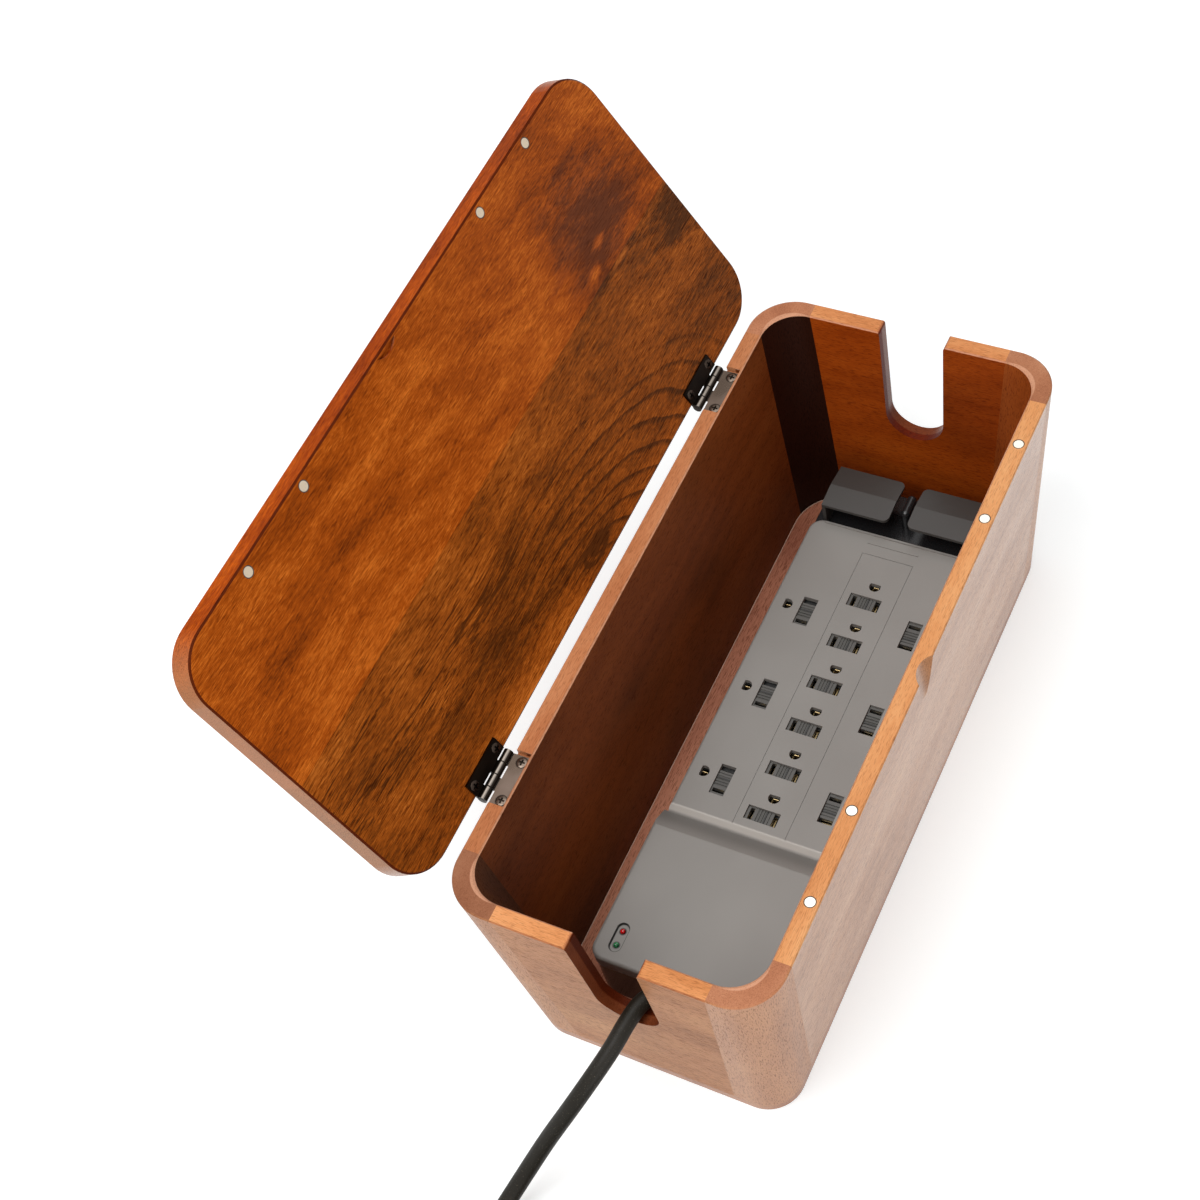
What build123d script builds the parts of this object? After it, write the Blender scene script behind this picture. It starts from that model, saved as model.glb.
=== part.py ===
from build123d import *
import os
from math import cos, pi, radians, sin, tan

os.makedirs("parts", exist_ok=True)

# Cable management box with a hinged lid, holding a surge-protected power strip and its mains cord.
# Millimetres. X runs along the box from the cord end (-X) to the far end (+X), Y across it towards
# the hinges (+Y), Z up from the underside of the base board.

# How far cuts run past the faces they open: small ones, and those through whole walls.
over = 1.0
cut_past = 5.0

# The power strip's length and half widths, and the room the box leaves round it.
strip_length = 328.0
label_half_width = 53.5
deck_step = 2.3                   # the outlet deck is this much slimmer on each side
strip_end_room = 14.5
strip_side_room = 11.0

# Box body: the walls lean outwards from the base to the rim.
wall = 9.5
flare = 12.0                      # how far each wall leans out between the base and the rim
rim_length = strip_length + 2 * (strip_end_room + wall + flare)
rim_width = 2 * (label_half_width + strip_side_room + wall + flare)
box_height = 156.0
rim_corner_radius = 25.0
base_corner_radius = 19.5
inner_rim_radius = 20.0
inner_base_radius = 28.0
base_board_thickness = 6.7
floor_panel_thickness = 6.1
floor_panel_clearance = 0.4
floor_panel_arris = 1.2
block_reach = 30.0                # length of a corner block along each of its two walls
rim_ease = 0.7

# Cord slots in both end panels.
slot_y = -2.9
slot_mouth_half = 18.5
slot_bottom_radius = 17.0
slot_bottom_z = 77.5
slot_lip_radius = 2.5

# Finger notch in the front panel and the finger recess that meets it in the lid.
notch_x = -3.1
notch_radius = 12.0
notch_depth = 4.4
notch_length = 24.5
recess_depth = 1.9
recess_reach = 3.2
recess_lip = 0.9

# Lid, described closed on the rim.
lid_gap = 0.4
lid_end_setback = 1.5             # inner face; the edges lean outwards as the walls do
lid_front_overhang = 0.2
lid_back_overhang = 1.3
lid_length = rim_length - 2 * lid_end_setback
lid_width = rim_width + lid_front_overhang + lid_back_overhang
lid_corner_radius = 24.0
lid_thickness = 12.7
lid_edge_flare = 1.5
lid_ease = 0.9
lid_open_angle = 119.3

# Magnets, facing each other in the rim and the lid.
magnet_radius = 3.0
magnet_length = 3.0
magnet_clearance = 0.05
magnet_sink = 0.1
magnets_from_near_end = (62.5, 113.0)
magnets_from_far_end = (109.0, 59.0)
magnet_xs = [inset - rim_length / 2 for inset in magnets_from_near_end]
magnet_xs += [rim_length / 2 - inset for inset in magnets_from_far_end]

# Butt hinges: the box leaf lies in a mortise deep enough for both leaves.
hinge_from_end = 72.0
hinge_xs = (hinge_from_end - rim_length / 2, rim_length / 2 - hinge_from_end)
leaf_length = 29.5
leaf_thickness = 1.3
leaf_gap = 1.2
box_leaf_reach = 12.0             # from the pin to the leaf's free edge
lid_leaf_reach = 11.5
mortise_end_gap = 1.5
mortise_side_gap = 0.25
pin_radius = 1.25
pin_clearance = 0.05
barrel_radius = 2.5
pin_behind_rim = 3.7
knuckle_count = 4
knuckle_gap = 0.25
knuckle_relief = 0.8              # from the barrel to the notch cut for it in the other leaf
hinge_screw_spacing = 22.5
hinge_screw_head_radius = 2.6
hinge_screw_head_height = 1.1
hinge_screw_shank_radius = 1.3
hinge_screw_length = 9.0
hinge_screw_clearance = 0.05
box_screw_from_pin = 8.9
lid_screw_from_pin = 7.1
cross_width = 0.7
cross_length = 2.6
cross_depth = 0.6

# Power strip.
strip_y = -10.0
strip_middle_x = 2.0
strip_near_x = strip_middle_x - strip_length / 2
strip_far_x = strip_middle_x + strip_length / 2
guide_room = 32.0                 # the low end beyond the cover, under the cord guide
cover_far_x = strip_far_x - guide_room
deck_length = 202.6
groove_x = cover_far_x - deck_length  # valley where the wider label end meets the outlet deck
deck_half_width = label_half_width - deck_step
label_height = 41.7               # above the floor panel
deck_height = 37.7
seam_height = 33.2
groove_depth = 3.0
groove_deck_run = 3.6
groove_label_run = 12.4
strip_corner_radius = 8.0
shell_setback = 0.5
shell_wall = 2.4
shell_ledge = 1.4
cover_thickness = 3.0
cover_edge_radius = 2.2
cover_side_radius = 1.6
panel_line_width = 0.5
panel_line_depth = 0.4
panel_line_half = 15.05
panel_line_end_setback = 15.0
panel_line_end_x = cover_far_x - panel_line_end_setback
cover_bar_setback = 7.7
cover_bar_x = cover_far_x - cover_bar_setback
cover_bar_width = 1.0
cover_bar_height = 0.5
cover_lip_setback = 1.4
cover_lip_height = 0.8

# Outlets: X of each ground hole, and how the three columns turn.
outlet_spacing = 28.6
centre_outlets = 6
side_outlets = 3
first_ground_setback = 34.6
first_ground_x = cover_far_x - first_ground_setback
side_ground_setback = 26.1
side_first_x = first_ground_x - side_ground_setback
side_ground_from_edge = 8.8
side_column_offset = deck_half_width - side_ground_from_edge
ground_to_window = 12.0
side_window_shift = 1.7
centre_window_shift = 1.9
ground_hole_radius = 3.3
ground_hole_flat = 1.7            # from the hole's middle to its flat side
window_length = 18.4
window_width = 8.4

# Sliding shutters in the outlet windows.
shutter_length = 14.9
shutter_clearance = 0.12
shutter_sink = 1.2
shutter_flange = 1.2
shutter_flange_thickness = 0.9
shutter_rib_pitch = 1.7
shutter_rib_count = 5
shutter_rib_depth = 0.5
blade_offset = 6.35
blade_slot_width = 2.4
blade_slot_length = 6.8
shutter_end_gap = 0.1
tray_thickness = 0.8
tray_above_seam = 0.2
tray_clearance = 0.3

# Contacts under the outlets.
carrier_thickness = 2.8
carrier_end_setback = 16.0
carrier_end_x = cover_far_x - carrier_end_setback
rail_width = 2.6
rail_thickness = 1.0
rail_step = 4.0
rail_from_groove = 6.6
rail_near_x = groove_x + rail_from_groove
rib_width = 1.7
clip_thickness = 0.8
clip_length = 6.0
clip_below_tray = 0.5
ground_clip_half = 2.2             # from the ground pin's middle to the middle of a clip
side_rail_offset = 4.6

# Surge circuit in the label end.
board_from_near_end = 16.0
board_from_groove = 11.4
board_near_x = strip_near_x + board_from_near_end
board_far_x = groove_x - board_from_groove
board_from_side = 13.5
board_width = 2 * (label_half_width - board_from_side)
board_thickness = 1.6
board_standoff = 4.0
standoff_radius = 3.0
standoff_from_edge = 4.0
varistor_radius = 9.0
varistor_thickness = 5.0
varistor_count = 3
varistor_pitch = 16.0
varistor_setback = 20.0            # from the board's right edge
capacitor_size = (24.0, 10.0, 17.0)
capacitor_setback = 20.0           # from the board's left edge

# Indicator lamps.
lamp_from_side = 11.8
lamp_y = strip_y + label_half_width - lamp_from_side
lamps_from_near_end = (18.6, 10.5)
lamp_xs = [strip_near_x + inset for inset in lamps_from_near_end]
lamp_radius = 1.5
lamp_flange_radius = 1.9
lamp_flange_thickness = 1.4
lamp_flange_gap = 0.1
lamp_proud = 1.65                  # above the floor of the lamps' recess
lamp_recess_length = 16.7
lamp_recess_width = 6.8
lamp_recess_depth = 1.5
lamp_hole_clearance = 0.15

# Cord guide at the strip's far end.
guide_cover_gap = 0.5
guide_near_x = cover_far_x + guide_cover_gap
guide_end_setback = 2.0
guide_far_x = strip_far_x - guide_end_setback
guide_slope_length = 15.0
guide_ridge_x = guide_far_x - guide_slope_length
guide_near_height = 50.8
guide_ridge_height = 51.9
guide_far_height = 49.6
guide_thickness = 2.0
guide_gap_half = 5.6
guide_corner_radius = 3.5
guide_side_setback = 5.7
guide_half_width = deck_half_width - guide_side_setback
post_length = 15.0
post_half_width = 2.7
post_height = 47.2
post_past_middle = 3.0             # towards the far end from the middle of the wings
post_edge_radius = 2.55

# Housing screws.
housing_screw_setback = 9.0
housing_screw_xs = (strip_near_x + housing_screw_setback, cover_far_x - housing_screw_setback)
housing_screw_offset = 17.0
housing_screw_radius = 1.5
housing_screw_head_radius = 3.0
housing_screw_head_height = 2.2
housing_screw_clearance = 0.05
housing_screw_recess = 3.4
post_wall = 2.0

# Mains cord.
cord_radius = 4.6
cord_exit_offset = 32.0            # to the right of the strip's middle
cord_exit_y = strip_y - cord_exit_offset
cord_exit_height = 19.2
relief_collar_radius = 7.2
relief_collar_length = 3.0
relief_root_radius = 6.5
relief_tip_radius = 5.4
relief_length = 26.0
relief_rise = 55.0
relief_out = 9.7
cord_route = [
    (-171.0, -18.9, 66.1),
    (-174.5, -10.5, 78.0),
    (-184.0, -5.0, 84.5),
    (-197.0, -2.5, 84.5),
    (-211.0, -0.5, 81.0),
    (-226.0, 4.5, 74.0),
    (-241.5, 13.0, 59.5),
    (-254.0, 23.0, 41.0),
    (-268.5, 31.5, 24.0),
    (-286.0, 38.5, 11.5),
    (-305.5, 43.0, 5.5),
    (-327.5, 45.0, 4.7),
]
coil_centre = (-348.0, -23.0)
coil_mean_radius = 54.0
coil_bottom_turns = 4
coil_top_turns = 3
coil_floor_gap = 0.1
coil_entry_angle = 90.0
tail_start_angle = 250.0
tail_route = [
    (-352.9, -88.5, 15.4),
    (-336.1, -95.3, 12.6),
    (-321.6, -100.7, 12.6),
]
plug_boot_length = 22.0
plug_boot_radius = 7.0
plug_body_length = 34.0
plug_body_width = 26.0
plug_body_height = 25.0
plug_edge_radius = 5.0
plug_back_edge_radius = 3.0
plug_blade_width = 6.35
plug_blade_thickness = 1.5
plug_blade_length = 17.0
plug_blade_half_spacing = 6.35
plug_ground_radius = 2.4
plug_ground_length = 20.0
plug_ground_drop = 11.9
plug_blades_rise = 5.1             # from the plug body's middle to the blades' middle
plug_blade_root = 6.0


def block(low, high):
    """A box between two opposite corners."""
    size = [b - a for a, b in zip(low, high)]
    middle = [(a + b) / 2 for a, b in zip(low, high)]
    return Pos(*middle) * Box(*size)


def rod(x, y, low_z, high_z, radius):
    """An upright cylinder."""
    return Pos(x, y, (low_z + high_z) / 2) * Cylinder(radius, high_z - low_z)


def save(shape, name):
    """Write one sub-part, named as its node."""
    shape.label = name
    export_step(shape, f"parts/{name}.step")


def near_height(shape, z, tolerance=0.01):
    """The edges of a shape that lie level at height z."""
    level = [e for e in shape.edges() if abs(e.bounding_box().min.Z - z) < tolerance
             and abs(e.bounding_box().max.Z - z) < tolerance]
    return level


# ---- Box body ---------------------------------------------------------------------------------

def lean_at(z):
    """How far the outer wall stands inside the rim at height z."""
    return flare * (1 - z / box_height)


def blend_at(z, base_value, rim_value):
    """A size that changes evenly from the base to the rim."""
    return base_value + (rim_value - base_value) * z / box_height


def outline(z, inset=0.0, base_radius=base_corner_radius, rim_radius=rim_corner_radius):
    """The box's rounded outline at height z, moved inwards by inset."""
    side = lean_at(z) + inset
    radius = blend_at(z, base_radius, rim_radius)
    return Pos(0, 0, z) * RectangleRounded(rim_length - 2 * side, rim_width - 2 * side, radius)


def inner_outline(z, clearance=0.0):
    """The outline of the space between the walls at height z."""
    return outline(z, wall + clearance, inner_base_radius, inner_rim_radius)


def span(z, along_x):
    """The stretch of wall between two corner blocks at height z, far wider than the box."""
    reach = 2 * (lean_at(z) + block_reach)
    if along_x:
        return Pos(0, 0, z) * Rectangle(rim_length - reach, 2 * rim_width)
    return Pos(0, 0, z) * Rectangle(2 * rim_length, rim_width - reach)


cut_low = base_board_thickness - cut_past
cut_high = box_height + cut_past
floor_top = base_board_thickness + floor_panel_thickness

base_board = loft([outline(0), outline(base_board_thickness)], ruled=True)
ease_z = box_height - rim_ease
walls = loft([outline(base_board_thickness), outline(ease_z), outline(box_height, rim_ease)], ruled=True)
walls -= loft([inner_outline(cut_low), inner_outline(ease_z), inner_outline(box_height, -rim_ease),
               inner_outline(cut_high, -rim_ease)], ruled=True)
long_span = loft([span(cut_low, True), span(cut_high, True)], ruled=True)
end_span = loft([span(cut_low, False), span(cut_high, False)], ruled=True)

floor_panel = loft([inner_outline(base_board_thickness, floor_panel_clearance),
                    inner_outline(floor_top - floor_panel_arris, floor_panel_clearance),
                    inner_outline(floor_top, floor_panel_clearance + floor_panel_arris)], ruled=True)

reach_x = rim_length               # well past the walls on every side
reach_y = rim_width


def side_of(shape, x_sign=0, y_sign=0):
    """The part of a shape on one side of the middle planes."""
    low = [-reach_x if x_sign <= 0 else 0, -reach_y if y_sign <= 0 else 0, 0]
    high = [reach_x if x_sign >= 0 else 0, reach_y if y_sign >= 0 else 0, cut_high]
    return shape & block(low, high)


long_walls = walls & long_span
end_walls = walls & end_span
corners = walls - long_span - end_span

slot_rise = cut_high - slot_bottom_z - slot_bottom_radius
slot_cut = Circle(slot_bottom_radius) + Polygon(
    (-slot_bottom_radius, 0), (slot_bottom_radius, 0),
    (slot_mouth_half, slot_rise), (-slot_mouth_half, slot_rise), align=None)
slot_cut = Plane.YZ * Pos(slot_y, slot_bottom_z + slot_bottom_radius) * slot_cut
slot_cut = extrude(slot_cut, amount=reach_x, both=True)


def end_panel(x_sign):
    """One end panel with its cord slot, the slot's lips rounded over."""
    panel = side_of(end_walls, x_sign=x_sign) - slot_cut
    lips = [e for e in near_height(panel, box_height)
            if abs(e.tangent_at(0.5).X) > 0.99 and abs(abs(e.center().Y - slot_y) - slot_mouth_half) < 1]
    return fillet(lips, slot_lip_radius)


cord_end_panel = end_panel(-1)
far_end_panel = end_panel(1)

back_panel = side_of(long_walls, y_sign=1)
front_panel = side_of(long_walls, y_sign=-1)

# The finger notch is a round cutter that leans so that it runs out of the front face.
notch_top = Vector(notch_x, -rim_width / 2 + notch_depth - notch_radius, box_height)
notch_end_z = box_height - notch_length
notch_end = Vector(notch_x, -rim_width / 2 + lean_at(notch_end_z) - notch_radius, notch_end_z)
notch_run = notch_top - notch_end
notch_cut = Plane(origin=notch_end - notch_run, z_dir=notch_run) * Circle(notch_radius)
notch_cut = extrude(notch_cut, amount=3 * notch_run.length)
front_panel -= notch_cut

# ---- Hinges -----------------------------------------------------------------------------------

lid_face_z = box_height + lid_gap
lid_leaf_z = lid_face_z - leaf_thickness
box_leaf_top = lid_leaf_z - leaf_gap
box_leaf_bottom = box_leaf_top - leaf_thickness
pin_y = rim_width / 2 + pin_behind_rim
pin_z = (lid_leaf_z + box_leaf_top) / 2
pin_line = Axis((0, pin_y, pin_z), (1, 0, 0))
knuckle_length = leaf_length / knuckle_count


def along_pin(low_x, high_x, radius):
    """A cylinder on the hinge line."""
    return Pos((low_x + high_x) / 2, pin_y, pin_z) * Rot(0, 90, 0) * Cylinder(radius, high_x - low_x)


def cross_recess():
    """The cross recess of a screw head, drawn about the middle of its outer face."""
    return Box(cross_length, cross_width, 2 * cross_depth) + Box(cross_width, cross_length, 2 * cross_depth)


def hinge_screw(x, y, head_z, up):
    """A countersunk wood screw with a cross recess; up is +1 where its head faces up."""
    head = Cone(hinge_screw_shank_radius, hinge_screw_head_radius, hinge_screw_head_height)
    screw = Pos(0, 0, -hinge_screw_head_height / 2) * head
    screw += rod(0, 0, -hinge_screw_length, -hinge_screw_head_height / 2, hinge_screw_shank_radius)
    screw -= cross_recess()
    turn = Rot(0, 0, 0) if up > 0 else Rot(180, 0, 0)
    return Pos(x, y, head_z) * turn * screw


def screw_seat(x, y, head_z, up, depth):
    """The countersunk hole for a hinge screw, a clearance larger than the screw."""
    gap = hinge_screw_clearance
    seat = Pos(0, 0, -hinge_screw_head_height / 2) * Cone(
        hinge_screw_shank_radius + gap, hinge_screw_head_radius + gap, hinge_screw_head_height)
    seat += rod(0, 0, -depth, 0, hinge_screw_shank_radius + gap)
    turn = Rot(0, 0, 0) if up > 0 else Rot(180, 0, 0)
    return Pos(x, y, head_z) * turn * seat


def screw_xs(hinge_x):
    """The two screw places along one leaf."""
    return (hinge_x - hinge_screw_spacing / 2, hinge_x + hinge_screw_spacing / 2)


def leaf(hinge_x, reach, low_z, screw_y, screw_z, up, own_first):
    """One leaf with every second knuckle, notched for the knuckles of the other leaf."""
    low_x = hinge_x - leaf_length / 2
    plate = block((low_x, pin_y - reach, low_z), (low_x + leaf_length, pin_y, low_z + leaf_thickness))
    relief_y = pin_y - barrel_radius - knuckle_relief
    for number in range(knuckle_count):
        start = low_x + number * knuckle_length
        end = start + knuckle_length
        gap = knuckle_gap / 2
        if number % 2 == own_first:
            plate += along_pin(start + gap, end - gap, barrel_radius)
        else:
            plate -= block((start - gap, relief_y, low_z - over),
                           (end + gap, pin_y + over, low_z + leaf_thickness + over))
    plate -= along_pin(low_x - over, low_x + leaf_length + over, pin_radius + pin_clearance)
    for x in screw_xs(hinge_x):
        plate -= screw_seat(x, screw_y, screw_z, up, hinge_screw_length)
    return plate


box_screw_y = pin_y - box_screw_from_pin
lid_screw_y = pin_y - lid_screw_from_pin
hinge_names = ("near", "far")
box_leaves = {}
lid_leaves = {}
hinge_pins = {}
box_hinge_screws = []
lid_hinge_screws = []
for name, x in zip(hinge_names, hinge_xs):
    box_leaves[name] = leaf(x, box_leaf_reach, box_leaf_bottom, box_screw_y, box_leaf_top, 1, 1)
    lid_leaves[name] = leaf(x, lid_leaf_reach, lid_leaf_z, lid_screw_y, lid_leaf_z, -1, 0)
    hinge_pins[name] = along_pin(x - leaf_length / 2, x + leaf_length / 2, pin_radius)
    box_hinge_screws += [hinge_screw(sx, box_screw_y, box_leaf_top, 1) for sx in screw_xs(x)]
    lid_hinge_screws += [hinge_screw(sx, lid_screw_y, lid_leaf_z, -1) for sx in screw_xs(x)]
    low_x = x - leaf_length / 2 - mortise_side_gap
    high_x = x + leaf_length / 2 + mortise_end_gap
    back_panel -= block((low_x, pin_y - box_leaf_reach - mortise_side_gap, box_leaf_bottom),
                        (high_x, rim_width, cut_high))
    for sx in screw_xs(x):
        back_panel -= screw_seat(sx, box_screw_y, box_leaf_top, 1, hinge_screw_length)

# ---- Magnets in the rim -----------------------------------------------------------------------

magnet_y = -(rim_width - wall) / 2
magnet_hole_radius = magnet_radius + magnet_clearance
box_magnets = []
lid_magnets = []
for x in magnet_xs:
    top = box_height - magnet_sink
    box_magnets.append(rod(x, magnet_y, top - magnet_length, top, magnet_radius))
    front_panel -= rod(x, magnet_y, top - magnet_length, cut_high, magnet_hole_radius)
    low = lid_face_z + magnet_sink
    lid_magnets.append(rod(x, magnet_y, low, low + magnet_length, magnet_radius))

# ---- Lid, made closed and then swung open about the hinge line -----------------------------------

lid_back = rim_width / 2 + lid_back_overhang
lid_middle_y = lid_back - lid_width / 2


def lid_outline(rise, ease=0.0):
    """The lid's outline at a height above its inner face, moved inwards where its arris is eased."""
    lean = lid_edge_flare * rise / lid_thickness - ease
    sketch = RectangleRounded(lid_length + 2 * lean, lid_width + 2 * lean, lid_corner_radius + lean)
    return Pos(0, lid_middle_y, lid_face_z + rise) * sketch


lid_board = loft([lid_outline(0, lid_ease), lid_outline(lid_ease), lid_outline(lid_thickness - lid_ease),
                  lid_outline(lid_thickness, lid_ease)], ruled=True)
for x in magnet_xs:
    lid_board -= rod(x, magnet_y, lid_face_z - over, lid_face_z + magnet_sink + magnet_length,
                     magnet_hole_radius)
for x in hinge_xs:
    for sx in screw_xs(x):
        lid_board -= screw_seat(sx, lid_screw_y, lid_leaf_z, -1, hinge_screw_length)

# The finger recess is a crescent of the notch's own radius, closed at the front by a thin lip.
lid_front = lid_back - lid_width
recess_front = lid_front + lid_ease + recess_lip
recess = rod(notch_x, recess_front + recess_reach - notch_radius, lid_face_z - over,
             lid_face_z + recess_depth, notch_radius)
recess &= block((-reach_x, recess_front, 0), (reach_x, reach_y, cut_high + lid_thickness))
lid_board -= recess


def swung(shape):
    """Turn a piece of the closed lid to its open rest."""
    return shape.rotate(pin_line, -lid_open_angle)


# ---- Power strip ------------------------------------------------------------------------------

label_top = floor_top + label_height
deck_top = floor_top + deck_height
seam_z = floor_top + seam_height
groove_z = deck_top - groove_depth
cover_under_deck = deck_top - cover_thickness
cover_under_label = label_top - cover_thickness


def strip_outline(far_x, inset):
    """The strip's plan from its near end to far_x, with the wider label end, moved in by inset."""
    low_x = strip_near_x + inset
    step_x = groove_x - inset
    wide = label_half_width - inset
    slim = deck_half_width - inset
    high_x = far_x - inset
    points = [(low_x, -wide), (step_x, -wide), (step_x, -slim), (high_x, -slim),
              (high_x, slim), (step_x, slim), (step_x, wide), (low_x, wide)]
    sketch = Pos(0, strip_y) * Polygon(*points, align=None)
    ends = [v for v in sketch.vertices() if v.X < low_x + over or v.X > high_x - over]
    return fillet(ends, strip_corner_radius - inset)


def slab(sketch, low_z, high_z):
    """A flat sketch made a plate between two heights."""
    return extrude(Pos(0, 0, low_z) * sketch, amount=high_z - low_z)


def across(points, half):
    """A side profile in X and Z carried across the strip by half on each side."""
    profile = extrude(Plane.XZ * Polygon(*points, align=None), amount=half, both=True)
    return Pos(0, strip_y, 0) * profile


# Lower shell: an open tray with a ledge for the shutter tray and a closed deck at its far end.
shell = slab(strip_outline(strip_far_x, shell_setback), floor_top, seam_z)
shell_floor = floor_top + shell_wall
tray_low = seam_z - tray_thickness + tray_above_seam
shell_inset = shell_setback + shell_wall
shell -= slab(strip_outline(cover_far_x, shell_inset + shell_ledge), shell_floor, tray_low)
shell -= slab(strip_outline(cover_far_x, shell_inset), tray_low, seam_z + over)
shell -= slab(strip_outline(strip_far_x, shell_inset), shell_floor, seam_z - shell_wall) & block(
    (cover_far_x, -rim_width, 0), (strip_far_x, rim_width, cut_high))

# Top cover: a shallow cap. The label end and the outlet deck meet in a valley.
label_plan = strip_outline(cover_far_x, 0) & (
    Pos((strip_near_x + groove_x) / 2, strip_y) * Rectangle(groove_x - strip_near_x, rim_width))
deck_plan = strip_outline(cover_far_x, 0) & (
    Pos((groove_x + cover_far_x) / 2, strip_y) * Rectangle(cover_far_x - groove_x, rim_width))
label_profile = [(strip_near_x - over, seam_z), (groove_x + over, seam_z), (groove_x + over, groove_z),
                 (groove_x, groove_z), (groove_x - groove_label_run, label_top),
                 (strip_near_x - over, label_top)]
deck_profile = [(groove_x - over, seam_z), (cover_far_x + over, seam_z), (cover_far_x + over, deck_top),
                (groove_x + groove_deck_run, deck_top), (groove_x, groove_z), (groove_x - over, groove_z)]
label_cap = slab(label_plan, seam_z, label_top) & across(label_profile, rim_width)
deck_cap = slab(deck_plan, seam_z, deck_top) & across(deck_profile, rim_width)
label_cap = fillet(near_height(label_cap, label_top), cover_edge_radius)
deck_cap = fillet(near_height(deck_cap, deck_top), cover_side_radius)
cover = label_cap + deck_cap
label_hollow_end = groove_x - groove_label_run - cover_thickness
deck_hollow_start = groove_x + groove_deck_run + cover_thickness
cover -= slab(strip_outline(cover_far_x, shell_inset), seam_z - over, cover_under_label) & block(
    (strip_near_x, -rim_width, 0), (label_hollow_end, rim_width, cut_high))
cover -= slab(strip_outline(cover_far_x, shell_inset), seam_z - over, cover_under_deck) & block(
    (deck_hollow_start, -rim_width, 0), (cover_far_x, rim_width, cut_high))

# Fine lines round the centre outlets, the raised bar beyond them, and the lip at the cover's end.
deck_start_x = groove_x + groove_deck_run
for side in (-1, 1):
    y = strip_y + side * panel_line_half
    cover -= block((deck_start_x, y - panel_line_width / 2, deck_top - panel_line_depth),
                   (panel_line_end_x, y + panel_line_width / 2, deck_top + over))
cover -= block((panel_line_end_x - panel_line_width, strip_y - panel_line_half, deck_top - panel_line_depth),
               (panel_line_end_x, strip_y + panel_line_half, deck_top + over))
cover += block((cover_bar_x - cover_bar_width / 2, strip_y - panel_line_half, deck_top - over),
               (cover_bar_x + cover_bar_width / 2, strip_y + panel_line_half, deck_top + cover_bar_height))
lip_half = deck_half_width - strip_corner_radius
cover += block((cover_far_x - cover_lip_setback - cover_bar_width, strip_y - lip_half, deck_top - over),
               (cover_far_x - cover_lip_setback, strip_y + lip_half, deck_top + cover_lip_height))

# ---- Outlets ----------------------------------------------------------------------------------
# Each outlet: the place of its window's middle, its ground hole, and the turn about Z that takes
# the window's own slide direction (+X) to the direction the shutter closes in.

outlets = []
for number in range(centre_outlets):
    ground_x = first_ground_x - number * outlet_spacing
    window = (ground_x - ground_to_window, strip_y + centre_window_shift)
    outlets.append({"window": window, "ground": (ground_x, strip_y), "turn": -90, "flat": 0})
for side, turn in ((1, 0), (-1, 180)):
    for number in range(side_outlets):
        ground_x = side_first_x - 2 * number * outlet_spacing
        ground_y = strip_y + side * side_column_offset
        window = (ground_x - side * side_window_shift, ground_y - side * ground_to_window)
        outlets.append({"window": window, "ground": (ground_x, ground_y), "turn": turn,
                        "flat": 90 * side})

ground_shape = Circle(ground_hole_radius) & (
    Pos(ground_hole_flat - 2 * ground_hole_radius, 0) * Rectangle(4 * ground_hole_radius,
                                                                  4 * ground_hole_radius))
window_shape = Rectangle(window_length, window_width)
blade_shape = Rectangle(blade_slot_width, blade_slot_length)
shutter_start = -window_length / 2 + shutter_end_gap
shutter_travel = window_length - shutter_length - 2 * shutter_end_gap
shutter_top = deck_top - shutter_sink
flange_top = cover_under_deck - shutter_clearance
flange_bottom = flange_top - shutter_flange_thickness
tray_high = tray_low + tray_thickness

tray_plan = strip_outline(cover_far_x, shell_inset + tray_clearance) & (
    Pos((deck_hollow_start + carrier_end_x) / 2, strip_y) * Rectangle(
        carrier_end_x - deck_hollow_start - tray_clearance, rim_width))
shutter_tray = slab(tray_plan, tray_low, tray_high)


def at_outlet(outlet, shape):
    """Place a shape drawn about an outlet window's middle."""
    return Pos(*outlet["window"], 0) * Rot(0, 0, outlet["turn"]) * shape


def at_ground(outlet, shape):
    """Place a shape drawn about an outlet's ground hole, its flat side away from the window."""
    return Pos(*outlet["ground"], 0) * Rot(0, 0, outlet["flat"]) * shape


def outlet_shutter():
    """A ribbed slider with a blade slot at one end and a flange that keeps it under the cover."""
    width = window_width - 2 * shutter_clearance
    end = shutter_start + shutter_length
    body = block((shutter_start, -width / 2, flange_bottom), (end, width / 2, shutter_top))
    edge = width / 2 + shutter_flange
    body += block((shutter_start, -edge, flange_bottom), (end, edge, flange_top))
    for rib in range(shutter_rib_count):
        rib_x = end - (rib + 1) * shutter_rib_pitch
        body -= block((rib_x - shutter_rib_pitch / 4, -width, shutter_top - shutter_rib_depth),
                      (rib_x + shutter_rib_pitch / 4, width, shutter_top + over))
    return body - slab(Pos(-blade_offset, 0) * blade_shape, flange_bottom - over, shutter_top + over)


shutters = []
shutter_master = outlet_shutter()
for outlet in outlets:
    cover -= at_outlet(outlet, slab(window_shape, cover_under_deck - over, deck_top + over))
    hole = slab(ground_shape, tray_low - over, deck_top + over)
    cover -= at_ground(outlet, hole)
    shutter_tray -= at_ground(outlet, hole)
    for side in (-1, 1):
        blade = slab(Pos(side * blade_offset, 0) * blade_shape, tray_low - over, tray_high + over)
        shutter_tray -= at_outlet(outlet, blade)
    shutters.append(at_outlet(outlet, shutter_master))

# ---- Contacts ---------------------------------------------------------------------------------

carrier_top = shell_floor + carrier_thickness
clip_top = tray_low - clip_below_tray
slim_half = deck_half_width - shell_inset - shell_ledge - tray_clearance
ground_level, neutral_level, live_level = 0, 1, 2
carrier_near_x = rail_near_x - (live_level + 1) * rail_step
contact_carrier = block((carrier_near_x, strip_y - slim_half, shell_floor),
                        (carrier_end_x, strip_y + slim_half, carrier_top))


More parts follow.
